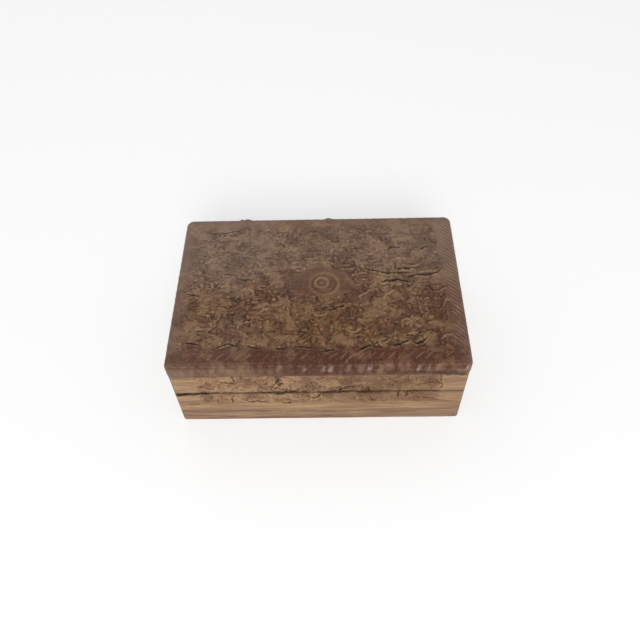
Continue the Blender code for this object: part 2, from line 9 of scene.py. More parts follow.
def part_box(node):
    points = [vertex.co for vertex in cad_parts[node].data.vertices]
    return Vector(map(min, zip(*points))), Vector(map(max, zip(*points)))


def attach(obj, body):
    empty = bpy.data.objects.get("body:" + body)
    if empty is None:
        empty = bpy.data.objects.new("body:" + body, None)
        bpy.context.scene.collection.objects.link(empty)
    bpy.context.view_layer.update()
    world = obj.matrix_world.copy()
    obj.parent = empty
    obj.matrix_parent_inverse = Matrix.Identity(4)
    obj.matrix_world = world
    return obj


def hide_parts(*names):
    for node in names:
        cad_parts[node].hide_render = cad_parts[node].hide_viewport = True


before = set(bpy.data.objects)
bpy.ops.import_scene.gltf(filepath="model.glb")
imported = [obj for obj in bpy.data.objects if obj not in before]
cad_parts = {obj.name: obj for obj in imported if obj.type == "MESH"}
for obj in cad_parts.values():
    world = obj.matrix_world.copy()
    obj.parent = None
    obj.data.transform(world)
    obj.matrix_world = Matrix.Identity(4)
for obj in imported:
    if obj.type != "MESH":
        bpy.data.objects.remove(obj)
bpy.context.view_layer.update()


# Studio: a white table without edges, soft light from above and in front, and the photograph's viewpoint.
# The table shows almost white to the camera and keeps a faint shadow of the box. It is the first thing here
# that needs nodes, so Value and Node, with which all the node trees are written, come before it.
VIEW_TURN = math.radians(1.97)
VIEW_HEIGHT = math.radians(53.18)
VIEW_ROLL = math.radians(-2.40)
VIEW_DISTANCE = 0.5
VIEW_TARGET = Vector((0.0004, 0.0033, 0.025))
FOCAL_LENGTH_PIXELS = 661.3
IMAGE_WIDTH_PIXELS = 640
TABLE_SIZE = 6.0
TABLE_WHITE = (0.99, 0.99, 0.99, 1)
TABLE_GLOW_SHARE = 0.5
ROOM_STRENGTH = 0.55
WHITE = (1, 1, 1, 1)
KEY_LIGHT = {"place": (0.08, -1.95, 1.45), "size": 0.9, "power": 40.0}
BACK_LIGHT = {"place": (-0.5, 0.7, 1.0), "size": 0.8, "power": 1.0}


def add_object(name, data):
    thing = bpy.data.objects.new(name, data)
    bpy.context.scene.collection.objects.link(thing)
    return thing


def camera_like_the_photo():
    back = Vector((math.sin(VIEW_TURN) * math.cos(VIEW_HEIGHT),
                   -math.cos(VIEW_TURN) * math.cos(VIEW_HEIGHT),
                   math.sin(VIEW_HEIGHT)))
    level = Vector((math.cos(VIEW_TURN), math.sin(VIEW_TURN), 0))
    upright = back.cross(level)
    right = level * math.cos(VIEW_ROLL) + upright * math.sin(VIEW_ROLL)
    up = upright * math.cos(VIEW_ROLL) - level * math.sin(VIEW_ROLL)
    camera = add_object("camera", bpy.data.cameras.new("camera"))
    camera.data.sensor_width = 36
    camera.data.lens = camera.data.sensor_width * FOCAL_LENGTH_PIXELS / IMAGE_WIDTH_PIXELS
    turned_round = Matrix((right, up, back)).transposed().to_4x4()
    camera.matrix_world = Matrix.Translation(VIEW_TARGET + back * VIEW_DISTANCE) @ turned_round
    bpy.context.scene.camera = camera


def soft_light(name, place, size, power):
    light = add_object(name, bpy.data.lights.new(name, "AREA"))
    light.data.size = size
    light.data.energy = power
    light.location = place
    light.rotation_mode = "QUATERNION"
    light.rotation_quaternion = (Vector(place) - VIEW_TARGET).to_track_quat("Z", "Y")


class Value:
    """What a node gives out. Arithmetic with it adds the nodes that do the sum."""

    def __init__(self, socket):
        self.socket = socket
        self.tree = socket.id_data

    def math(self, operation, second=0.0, clamp=False):
        inputs = {0: self, 1: second}
        return Node(self.tree, "ShaderNodeMath", inputs, operation=operation, use_clamp=clamp)[0]

    def __add__(self, second):
        return self.math("ADD", second)

    def __sub__(self, second):
        return self.math("SUBTRACT", second)

    def __rsub__(self, first):
        return Node(self.tree, "ShaderNodeMath", {0: first, 1: self}, operation="SUBTRACT")[0]

    def __mul__(self, second):
        return self.math("MULTIPLY", second)

    def __truediv__(self, second):
        return self.math("DIVIDE", second)

    def ranged(self, low, high, to_low=0.0, to_high=1.0):
        """Goes smoothly from to_low to to_high while this value goes from low to high."""
        limits = {"Value": self, "From Min": low, "From Max": high, "To Min": to_low, "To Max": to_high}
        return Node(self.tree, "ShaderNodeMapRange", limits, interpolation_type="SMOOTHSTEP")["Result"]

    def scaled(self, x, y, z):
        return Node(self.tree, "ShaderNodeMapping", {"Vector": self, "Scale": (x, y, z)})["Vector"]

    def noise(self, scale, detail, distortion=0.0):
        inputs = {"Vector": self, "Scale": scale, "Detail": detail, "Distortion": distortion}
        return Node(self.tree, "ShaderNodeTexNoise", inputs)[0]


class Node:
    """A new node. node[name or number] is the value that it gives out there."""

    def __init__(self, tree, kind, inputs={}, **settings):
        self.node = tree.nodes.new(kind)
        for key, value in settings.items():
            setattr(self.node, key, value)
        fill(self.node, inputs)

    def __getitem__(self, key):
        return Value(self.node.outputs[key])


def fill(node, inputs):
    """Sets a node's inputs to plain values, or links other nodes' values into them."""
    for key, value in inputs.items():
        if isinstance(value, Value):
            value.tree.links.new(value.socket, node.inputs[key])
        else:
            node.inputs[key].default_value = value


def new_material(name):
    material = bpy.data.materials.new(name)
    material.use_nodes = True
    return material, material.node_tree


def seen_directly(tree):
    """1 for rays that come from the camera or by way of a mirror-like or clear surface."""
    path = Node(tree, "ShaderNodeLightPath")
    return path["Is Camera Ray"].math("MAXIMUM", path["Is Glossy Ray"])


def white_table():
    bm = bmesh.new()
    bmesh.ops.create_grid(bm, x_segments=8, y_segments=8, size=TABLE_SIZE / 2)
    mesh = bpy.data.meshes.new("table")
    bm.to_mesh(mesh)
    bm.free()
    table = add_object("table", mesh)
    material, tree = new_material("white table")
    surface = tree.nodes["Principled BSDF"]
    fill(surface, {"Base Color": TABLE_WHITE, "Roughness": 0.7})
    glow = Node(tree, "ShaderNodeEmission", {"Color": WHITE, "Strength": 1.0})
    share = seen_directly(tree) * TABLE_GLOW_SHARE
    mixed = Node(tree, "ShaderNodeMixShader", {0: share, 1: Value(surface.outputs[0]), 2: glow[0]})
    fill(tree.nodes["Material Output"], {"Surface": mixed[0]})
    mesh.materials.append(material)


def white_room():
    world = bpy.data.worlds.new("room")
    world.use_nodes = True
    strength = seen_directly(world.node_tree).ranged(0.0, 1.0, ROOM_STRENGTH, 1.0)
    fill(world.node_tree.nodes["Background"], {"Color": WHITE, "Strength": strength})
    bpy.context.scene.world = world


camera_like_the_photo()
white_room()
white_table()
soft_light("key light", **KEY_LIGHT)
soft_light("back light", **BACK_LIGHT)
bpy.context.scene.view_settings.view_transform = "Standard"


# Walls of the base: pale sapwood boards, mitred and glued, with the lower half of a carved band and a plain
# foot. They are lofted from a cross-section, and the carving is real relief. The back keeps the CAD shape.
MM = 0.001
BOARD_THICKNESS = 10.0
CORNER_RADIUS = 2.5
MITRE_GAP = 0.03
ARRIS = 0.45
ROW = 0.45
RABBET_WIDTH = 5.0
RABBET_TOP = 5.3
BAND_LOW = 21.0
BAND_HIGH = 58.2
BAND_MARGIN = 16.5
BAND_DEPTH = 0.8
BAND_MIDDLE = -0.4
LEAF_SPACING = 6.8
STEM_HEIGHT = 6.0
STEM_WAVE = 8.5
SEAM_Z = 36.0
PIVOT_Y = 64.2
STOP_BEVEL = math.radians(50.0)
STOP_CLEARANCE = 0.3
LINE_RAGGEDNESS = 0.42
LINE_WANDER = 0.7
CHIP_HEIGHT = 3.0
CHIP_DEPTH = 4.5
SIDE_TURNS = {"front": 0, "right": 1, "back": 2, "left": 3}
LOBE_TURN = math.radians(52.0)
SHARP_TURN = math.radians(60.0)
WOOD_SHEEN = 0.22
COAT_ROUGHNESS = 0.3
FINE_BUMP = 0.00006
PALE_WEAR_BUMP = 0.00022
BODY_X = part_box("base_right_wall")[1].x / MM
BODY_Y = -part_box("base_front_wall")[0].y / MM

# Cuts on the front, read off the photograph: points along the box and up it, then width, depth and darkness,
# which is painted shade with dirt in the cut
FRONT_CUTS = (
    ([(11.5, 35.5), (17.5, 41), (26, 43), (33, 39.5), (37, 37)], 1.2, 1, 0.8),
    ([(-8, 31), (-3, 28.5), (1, 32.5)], 1, 0.7, 0.6),
    ([(54, 37), (54, 28.5)], 0.9, 0.8, 0.7),
    ([(60, 28), (59.5, 36.5)], 1, 0.9, 0.8),
    ([(81, 58), (81, 50), (82.5, 43.5), (82, 37)], 0.9, 0.6, 0.4),
    ([(-57, 57), (-56.5, 50)], 0.8, 0.8, 0.8),
    ([(-28.5, 57), (-26.5, 51.5), (-28, 47)], 2.6, 0.9, 0.75),
    ([(-25, 47), (-27.5, 43), (-29.5, 39.5)], 1.9, 0.8, 0.7),
    ([(-33, 44), (-28, 41.5)], 1.3, 0.7, 0.6),
    ([(75, 57.5), (83.5, 57), (98, 56)], 1.6, 1.2, 0.95),
    ([(64, 43), (72, 45.5), (79, 49.5)], 1.1, 0.6, 0.5),
    ([(42, 50), (50, 52.5), (57, 56)], 1.2, 0.5, 0.45),
    ([(-70, 52), (-64, 48.5), (-55, 47.5)], 0.9, 0.5, 0.6),
    ([(-91.5, 22.5), (-84, 22)], 0.8, 0.6, 0.7),
    ([(-60.5, 28.5), (-60, 23.5)], 1, 0.7, 0.7),
    ([(-49, 23.5), (-42, 24), (-35, 23)], 1, 0.8, 0.85),
    ([(-26, 22), (-18.5, 22)], 1, 0.8, 0.85),
    ([(68, 26.5), (79, 26)], 0.9, 0.6, 0.7),
)
FRONT_RIDGES = (
    [(14, 34.5), (19, 38.5), (26, 40), (31, 37.5)],
    [(-10, 29), (-3, 26.5), (3.5, 31)],
    [(16, 47), (24, 48), (33, 44.5), (40, 43.5)],
    [(56.5, 37), (57, 28.5)],
)
# How worn the lower rim of the lid and the upper rim of the base are on the front, which also sets the
# painted shade along the parting line: place along it and amount
FRONT_RIM_WEAR = ((-100, 1.0), (-77, 0.95), (-71, 0.6), (-43, 0.5), (-38, 0.85), (-17, 0.8), (-12, 0.4),
                  (-4, 0.4), (1, 0.7), (14, 0.8), (33, 0.9), (40, 0.55), (78, 0.65), (84, 0.3), (100, 0.3))
WORM_HOLES = ((-82.2, 10.2), (-28.1, 8.3), (-11.3, 6.0), (-41.8, 4.0), (31.3, 10.8), (-72.5, 29.4),
              (-31.8, 28.8))
KNOT_BOX = ((-31.5, 38.5), (-23.5, 57.5))
# Streaks of the sapwood: height in the box, and the tone there
FOOT_STREAKS = (
    (1, (128, 94, 76)),
    (5, (104, 72, 60)),
    (8, (158, 128, 100)),
    (11, (106, 76, 62)),
    (14, (146, 116, 90)),
    (18, (158, 127, 90)),
    (22, (134, 104, 78)),
    (30, (150, 120, 90)),
    (44, (144, 113, 85)),
)
STREAKS_HIGH = 60
GRAIN_TURNS = {"front": 0.0, "back": 0.0, "left": math.pi / 2, "right": math.pi / 2}
SOCKET_KINDS = {float: "Float", int: "Int", bool: "Bool", str: "String", tuple: "Color"}


def random_lumps(u, v, size, seed, octaves=1):
    """Smooth random relief between -1 and 1, with lumps of about the given size."""
    total, weight = 0, 0
    for octave in range(octaves):
        table = np.random.default_rng(seed + octave).uniform(-1, 1, (256, 256))
        a, b = u / size * 2 ** octave, v / size * 2 ** octave
        i, j = np.floor(a).astype(int), np.floor(b).astype(int)
        s, t = ease(a - i), ease(b - j)
        i, j, i1, j1 = i % 256, j % 256, (i + 1) % 256, (j + 1) % 256
        low = table[i, j] * (1 - s) + table[i1, j] * s
        high = table[i, j1] * (1 - s) + table[i1, j1] * s
        total = total + (low * (1 - t) + high * t) * 0.5 ** octave
        weight += 0.5 ** octave
    return total / weight


def ease(value):
    """Goes smoothly from 0 to 1 while a value does."""
    value = np.clip(value, 0, 1)
    return value * value * (3 - 2 * value)


def hump(distance, half_width, power=2):
    """1 in the middle of a smooth hump and near 0 at twice its half width. A power of 4 makes it squarer."""
    return np.exp(-(distance / half_width) ** power)


def turned(u, v, angle):
    """How far along and across a direction a place lies."""
    return u * math.cos(angle) + v * math.sin(angle), v * math.cos(angle) - u * math.sin(angle)


def points_between(u, v, low, high):
    return np.nonzero((u > low[0]) & (u < high[0]) & (v > low[1]) & (v < high[1]))


def carve_leaf(relief, u, v, x, y, heading, reach, level):
    """Lays one ragged five-lobed leaf over what is carved already, with a cut round it and ribbed lobes."""
    rng = np.random.default_rng(int(abs(31 * x + 17 * y) * 10))
    room = 1.5 * reach
    spot = points_between(u, v, (x - room, y - room), (x + room, y + room))
    along, across = turned(u[spot] - x, v[spot] - y, heading)
    radius = np.hypot(along, across)
    angle = np.arctan2(across, along)
    lobe = np.clip(np.round(angle / LOBE_TURN), -2, 2)
    off = np.abs(angle - lobe * LOBE_TURN)
    shares = 1 - 0.15 * np.abs(np.arange(-2, 3)) + rng.uniform(-0.18, 0.18, 5)
    length = reach * shares[lobe.astype(int) + 2]
    outline = length * (0.76 + 0.24 * np.cos(math.tau * np.minimum(off / LOBE_TURN, 0.5)))
    inside = (outline - radius) * 0.8
    rib = np.sin(np.minimum(off, 1.5)) * radius
    crown = 0.3 * (1 - radius / reach) - 0.22 * hump(rib, 0.6) * (radius > 0.8)
    trench = 0.3 * hump(inside + 0.4, 0.6)
    under = relief["height"][spot] - trench
    relief["height"][spot] = under + ease(inside / 1.6) * (level + crown - under)
    veins = (radius * np.cos(off) + 0.9 * rib) / 1.15
    relief["vein"][spot] = np.where(inside > 0.1, veins, relief["vein"][spot])


def chop_marks(relief, u, v, count, seed, low, high, length, depth, lean):
    """Short tapered gouge marks in random places from low to high. lean is how far they turn from level."""
    rng = np.random.default_rng(seed)
    for _ in range(count):
        x, y = rng.uniform(low, high)
        turn, run, deep = rng.normal(0, lean), rng.uniform(*length), rng.uniform(*depth)
        wide, bend = rng.uniform(0.5, 0.95), rng.uniform(-0.08, 0.08)
        spot = points_between(u, v, (x - run, y - run), (x + run, y + run))
        along, across = turned(u[spot] - x, v[spot] - y, turn)
        taper = np.clip(1 - (2 * along / run) ** 2, 0, 1)
        relief["height"][spot] -= deep * taper * hump(across + bend * along ** 2, wide)


def distance_to_line(u, v, points):
    """Distance to a smooth line through points, and how far along it that is, from 0 to 1."""
    path = np.array(points, float)
    ends = np.vstack([2 * path[0] - path[1], path, 2 * path[-1] - path[-2]])
    fine = []
    for k in range(len(path) - 1):
        p0, p1, p2, p3 = ends[k:k + 4]
        for t in np.linspace(0, 1, 5)[:-1]:
            fine.append(0.5 * (2 * p1 + (p2 - p0) * t + (2 * p0 - 5 * p1 + 4 * p2 - p3) * t * t
                               + (3 * p1 - p0 - 3 * p2 + p3) * t ** 3))
    fine.append(path[-1])
    best, place = np.full(u.shape, 1e9), np.zeros(u.shape)
    for k, (a, b) in enumerate(zip(fine, fine[1:])):
        step = b - a
        share = np.clip(((u - a[0]) * step[0] + (v - a[1]) * step[1]) / (step @ step), 0, 1)
        gone = np.hypot(u - a[0] - share * step[0], v - a[1] - share * step[1])
        place = np.where(gone < best, (k + share) / (len(fine) - 1), place)
        best = np.minimum(best, gone)
    return best, place


def carve_line(relief, u, v, points, width, depth, shade_and_dirt=0.0, lip=0.0, pale=0.0):
    """A ragged gouged line that thins out at its ends, or a raised one where depth is below zero.

    Its darkness is painted shade with dirt in the groove, pale rubs it light, and lip raises the wood on the
    viewer's side of it.
    """
    room = 3 * width + 1
    spot = points_between(u, v, np.min(points, 0) - room, np.max(points, 0) + room)
    x, y = u[spot], v[spot]
    ragged = LINE_RAGGEDNESS * random_lumps(x, y, 1.5, 77, 3)
    off_x, off_y = (LINE_WANDER * random_lumps(x, y, 4, seed, 2) for seed in (81, 85))
    gone, place = distance_to_line(x + off_x, y + off_y, points)
    uneven = 1 + 0.6 * random_lumps(place * 9, place * 0 + points[0][0], 1, 78)
    thin = width * (0.35 + 0.65 * np.sqrt(np.sin(math.pi * np.clip(place, 0.01, 0.99)))) * uneven
    groove = hump((gone + ragged) * 1.5, thin)
    broken = np.clip(0.75 + 0.9 * random_lumps(x, y, 1.1, 79, 2), 0, 1)
    relief["height"][spot] -= depth * groove * np.clip(uneven, 0.6, 1.2)
    relief["shade_and_dirt"][spot] = np.maximum(relief["shade_and_dirt"][spot], shade_and_dirt * groove)
    relief["pale"][spot] = np.maximum(relief["pale"][spot], pale * groove * broken)
    if lip:
        beside, _ = distance_to_line(x, y + 1.25 * width, points)
        relief["height"][spot] += lip * hump((beside + ragged) * 1.3, width)


def blank_relief(u):
    return {key: np.zeros(u.shape) for key in ("height", "vein", "shade_and_dirt", "pale")}


def softened(height, times):
    """A relief blurred by a few passes that mix each point with its neighbours."""
    for _ in range(times):
        padded = np.pad(height, 1, mode="edge")
        height = (padded[:-2, 1:-1] + 2 * padded[1:-1, 1:-1] + padded[2:, 1:-1]) / 4
        padded = np.pad(height, 1, mode="edge")
        height = (padded[1:-1, :-2] + 2 * padded[1:-1, 1:-1] + padded[1:-1, 2:]) / 4
    return height


def wear_down(relief, ground, middle, patches, least, most):
    """Flattens the carving towards its middle level, more in some patches than in others."""
    kept = least + (most - least) * ease(0.5 + 0.9 * patches)
    relief["height"] = ground * middle + (relief["height"] - ground * middle) * kept


def add_wear(relief):
    """Marks the hollows that hold dirt and the ridges that hands have rubbed pale."""
    change = relief["height"] - softened(relief["height"], 6)
    broad = relief["height"] - softened(relief["height"], 40)
    relief["hollow"] = np.clip(-change / 0.24, 0, 1) * 0.7 + np.clip(-broad / 0.6, 0, 1) * 0.3
    relief["ridge"] = np.clip(change / 0.18, 0, 1) * 0.75 + np.clip(broad / 0.5, 0, 1) * 0.25
    relief["ridge"] = np.maximum(relief["ridge"], relief["pale"])


def stem_at(x):
    return SEAM_Z + 2 + STEM_HEIGHT * math.sin(x / STEM_WAVE)


def band_relief(side, run_half, u, z):
    """A side's carved band: a waving stem with leaves on both sides of it, which crosses the parting line."""
    relief = blank_relief(u)
    seed = 100 * (SIDE_TURNS[side] + 1)
    wander_u = u + 1.3 * random_lumps(u, z, 7, seed, 3)
    wander_z = z + 1.3 * random_lumps(u, z, 7, seed + 9, 3)
    half = run_half - BAND_MARGIN
    ground = ease((half + 2 - np.abs(wander_u)) / 8)
    ground = ground * ease((wander_z - BAND_LOW) / 4.5) * ease((BAND_HIGH - wander_z) / 0.8)
    relief["height"] = -BAND_DEPTH * ground
    rng = np.random.default_rng(seed)
    stem = [(x, stem_at(x)) for x in np.arange(-half + 2, half, 7)]
    carve_line(relief, wander_u, wander_z, stem, 1.6, -0.6)
    for k, x in enumerate(np.arange(-half + 5, half - 2, LEAF_SPACING)):
        up = 1 if k % 2 else -1
        z_root = stem_at(x) + up * 2
        heading = up * math.pi / 2 + rng.uniform(-0.9, 0.9)
        reach = rng.uniform(8.5, 11) * (1.1 if up > 0 else 0.85)
        x = x + rng.uniform(-1.5, 1.5)
        carve_leaf(relief, wander_u, wander_z, x, z_root, heading, reach, rng.uniform(-0.5, -0.05))
    wear_down(relief, ground, BAND_MIDDLE, random_lumps(u, z, 16, seed + 40, 2), 0.25, 0.7)
    chop_marks(relief, u, z, round(7 * half), seed + 50, (-half, BAND_LOW), (half, BAND_HIGH),
               (2, 8), (-0.35, 0.5), 0.8)
    relief["height"] = relief["height"] * ease(ground * 2.5)
    relief["vein"] *= ground > 0.5
    relief["height"] += 0.15 * ground * random_lumps(u, z, 1.5, seed + 20, 2)
    relief["height"] += 0.05 * random_lumps(u / 9, z, 1.1, seed + 30, 2)
    relief["carved"] = ground
    return relief


def front_marks(relief, u, z):
    """What the photograph shows on the front: a scroll, a dark knot, a notch, scribed ends and worm holes."""
    chop_marks(relief, u, z, 34, 7, *KNOT_BOX, (2, 5), (0.2, 0.8), 1.2)
    for points in FRONT_RIDGES:
        carve_line(relief, u, z, points, 1.0, -0.45)
    for points, width, depth, shade_and_dirt in FRONT_CUTS:
        carve_line(relief, u, z, points, width, depth, shade_and_dirt)
    # Worm holes, darkened with painted shade and dirt
    for x, height in WORM_HOLES:
        carve_line(relief, u, z, [(x - 0.3, height), (x + 0.3, height)], 0.8, 0.8, 0.9)


def board_section(low, high, rabbet):
    """A board's cross-section, up its face and down its back: depths behind the face, and heights."""
    turn = np.linspace(0, math.pi / 2, 4)
    face = np.linspace(low + ARRIS, high - ARRIS, round((high - low) / ROW))[1:-1]
    rim = [0.9, 1.4, 2.0, 2.8, 4.0, 6.0, 8.0]
    pairs = [(ARRIS * (1 - math.sin(a)), low + ARRIS * (1 - math.cos(a))) for a in turn]
    pairs += [(0.0, z) for z in face]
    pairs += [(ARRIS * (1 - math.cos(a)), high - ARRIS * (1 - math.sin(a))) for a in turn]
    pairs += [(depth, high) for depth in rim]
    foot = RABBET_TOP if rabbet else low
    pairs += [(BOARD_THICKNESS, z) for z in np.linspace(high, foot, 8)]
    if rabbet:
        pairs += [(RABBET_WIDTH, RABBET_TOP), (RABBET_WIDTH, low)]
    pairs += [(depth, low) for depth in rim[-3:1:-1]]
    return np.array(pairs).T


def rim_wear(side, x):
    """How worn a rim is along it, from 0 to 1. The front's is read off the photo's parting line."""
    if side != "front":
        return np.full(x.shape, 0.3)
    places, amounts = zip(*FRONT_RIM_WEAR)
    return np.interp(x, places, amounts)


def rim_chips(side, x, is_lid):
    """How much of a rim's outer edge is broken away along it."""
    seed = 40 + SIDE_TURNS[side] + (50 if is_lid else 0)
    wave = random_lumps(x, x * 0, 9, seed, 3)
    fine = np.abs(random_lumps(x, x * 0 + 3, 2.6, seed + 5, 2))
    return (0.8 if is_lid else 1.6) * rim_wear(side, x) * np.clip(0.5 + 1.0 * wave + 1.0 * fine, 0.05, 2)


def quads_between(index):
    """A quad between each four neighbours in a grid of point numbers."""
    corners = [index[:-1, :-1], index[:-1, 1:], index[1:, 1:], index[1:, :-1]]
    return np.stack(corners, -1).reshape(-1, 4).tolist()


def relief_piece(name, places, faces, marks):
    """One closed mesh from x, y and z in millimetres, with what the finish reads stored as attributes."""
    mesh = bpy.data.meshes.new(name)
    mesh.from_pydata((np.stack(places, -1).reshape(-1, 3) * MM).tolist(), [], faces)
    bm = bmesh.new()
    bm.from_mesh(mesh)
    bmesh.ops.recalc_face_normals(bm, faces=bm.faces)
    bm.to_mesh(mesh)
    bm.free()
    for key, values in marks.items():
        attribute = mesh.attributes.new(key, "FLOAT", "POINT")
        attribute.data.foreach_set("value", values.astype(np.float32).ravel())
    mesh.shade_smooth()
    mesh.set_sharp_from_angle(angle=SHARP_TURN)
    return add_object(name, mesh)


def make_board(side, body, word):
    """One side of the base or the lid, lofted from its cross-section, with its relief, its worn rim and
    painted shade along the parting line.
    """
    node = f"{body}_{side}_{word}"
    is_lid = body == "lid"
    low, high = (corner.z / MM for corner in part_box(node))
    run_half, offset = (BODY_X, BODY_Y) if side == "front" else (BODY_Y, BODY_X)
    stations = np.linspace(-1, 1, 2 * round(run_half / ROW) + 1)
    section = board_section(low, high, rabbet=not is_lid)
    depth, z = np.repeat(section[:, :, None], len(stations), axis=2)
    bite = CORNER_RADIUS * (1 - math.sqrt(0.5))
    share = depth / BOARD_THICKNESS
    reach = run_half - bite - share * (BOARD_THICKNESS - bite) - MITRE_GAP
    outer_x = stations * np.full_like(reach, reach.max())
    past = np.clip(np.abs(outer_x) - (run_half - CORNER_RADIUS), 0, CORNER_RADIUS)
    rounding = CORNER_RADIUS - np.sqrt(CORNER_RADIUS ** 2 - past ** 2)
    relief = band_relief(side, run_half, outer_x, z)
    if side == "front":
        front_marks(relief, outer_x, z)
    add_wear(relief)
    hold = 1 - ease((depth - ARRIS) / 3)
    lift = relief["height"] * hold
    lean = past / CORNER_RADIUS
    x = stations * reach + np.sign(outer_x) * lean * lift
    y = depth + rounding * (1 - share) - offset - np.sqrt(1 - lean ** 2) * lift
    from_rim = np.abs(z - (low if is_lid else high))
    chips = rim_chips(side, outer_x, is_lid) * ease(1 - from_rim / CHIP_HEIGHT) * ease(1 - depth / CHIP_DEPTH)
    # Painted shade with dirt along the parting line, darkest at the outer edge of each rim
    grime = rim_wear(side, outer_x) * ease(1.25 - from_rim / 1.2) * (1 - ease((depth - 1.2) / 2.5))
    relief["shade_and_dirt"] = np.maximum(relief["shade_and_dirt"] * hold, 0.9 * grime)
    if is_lid:
        relief["ridge"] = np.maximum(relief["ridge"], 0.7 * ease(1 - (high - z) / 1.2))
    z = z + (chips if is_lid else -chips)
    for _ in range(SIDE_TURNS[side]):
        x, y = -y, x
    if side != "front":
        drop = np.clip(y - PIVOT_Y, 0, None) * math.tan(STOP_BEVEL) + STOP_CLEARANCE * (y > PIVOT_Y)
        fixed = high if is_lid else low
        z = fixed + (z - fixed) * (high - low - drop) / (high - low)
    index = np.arange(z.size).reshape(z.shape)
    faces = quads_between(np.vstack([index, index[:1]])) + [index[:, 0].tolist(), index[:, -1].tolist()]
    marks = {key: relief[key] * hold for key in ("hollow", "ridge", "carved")}
    marks |= {"shade_and_dirt": relief["shade_and_dirt"], "vein": relief["vein"] * (hold > 0.5)}
    board = relief_piece(f"{body}_{side}_board", (x, y, z), faces, marks)
    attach(board, body)
    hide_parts(node)
    set_material(board, PALE_BOARDS[side])


def make_sides(body, word):
    """The front and the ends of the base or the lid. The back keeps the CAD shape."""
    for side in ("front", "left", "right"):
        make_board(side, body, word)
    set_material(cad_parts[f"{body}_back_{word}"], PALE_BOARDS["back"])


def colour(red, green, blue):
    """A colour that is written as it shows on a screen, from 0 to 255."""
    shares = [c / 255 for c in (red, green, blue)]
    return (*(s / 12.92 if s <= 0.04045 else ((s + 0.055) / 1.055) ** 2.4 for s in shares), 1)


def new_group(name, kind, inputs, outputs):
    """A node group. Its inputs come with their values, or None, and its outputs with their kinds."""
    tree = bpy.data.node_groups.new(name, kind)
    for label, value in inputs.items():
        what = label if value is None else SOCKET_KINDS[type(value)]
        socket = tree.interface.new_socket(label, in_out="INPUT", socket_type=f"NodeSocket{what}")
        if value is not None:
            socket.default_value = value
    for label, what in outputs.items():
        tree.interface.new_socket(label, in_out="OUTPUT", socket_type=f"NodeSocket{what}")
    return tree, Node(tree, "NodeGroupInput")


def add_group(tree, group, **values):
    inputs = {label.replace("_", " "): value for label, value in values.items()}
    return Node(tree, "ShaderNodeGroup", inputs, node_tree=group)


def layered(tree, tone, *layers):
    """A tone with others laid over it in turn. Each layer is a share and a tone."""
    for share, layer in layers:
        inputs = {0: share, 6: tone, 7: layer}
        tone = Node(tree, "ShaderNodeMix", inputs, data_type="RGBA", clamp_factor=True)[2]
    return tone


def mark(tree, name):
    return Node(tree, "ShaderNodeAttribute", attribute_name=name)["Fac"]


def object_space(tree, turn=0.0, shift=(0, 0, 0)):
    """Object coordinates, turned so that X follows the grain of a board."""
    place = Node(tree, "ShaderNodeTexCoord")["Object"]
    inputs = {"Vector": place, "Rotation": (0, 0, turn), "Location": shift}
    return Node(tree, "ShaderNodeMapping", inputs)["Vector"]


def wood_grain_group():
    """Long grain along X: soft bands from Early to Late wood, fine fibres and short dark pores."""
    tree, given = new_group("wood grain", "ShaderNodeTree", {
        "Vector": None, "Early": colour(150, 120, 90), "Late": colour(110, 80, 60),
        "Band Size": 150.0, "Pores": 0.5, "Lines": 0.0,
    }, {"Colour": "Color", "Height": "Float"})
    place = given["Vector"]
    bands = place.scaled(0.09, 1, 1).noise(given["Band Size"], 3, 0.35).ranged(0.32, 0.68)
    fibre = place.scaled(0.035, 1, 1).noise(1900, 2).ranged(0.3, 0.7)
    pore = place.scaled(0.07, 1, 1).noise(1300, 1).ranged(0.62, 0.74)
    lines = place.scaled(0.05, 1, 1).noise(620, 3, 0.5).ranged(0.51, 0.62)
    tone = layered(
        tree, given["Early"],
        (bands, given["Late"]),
        (fibre * 0.25, colour(60, 38, 28)),
        (lines * given["Lines"], colour(88, 54, 42)),
        (pore * given["Pores"], colour(58, 36, 26)),
    )
    Node(tree, "NodeGroupOutput", {"Colour": tone, "Height": fibre * -0.4 - pore})
    return tree


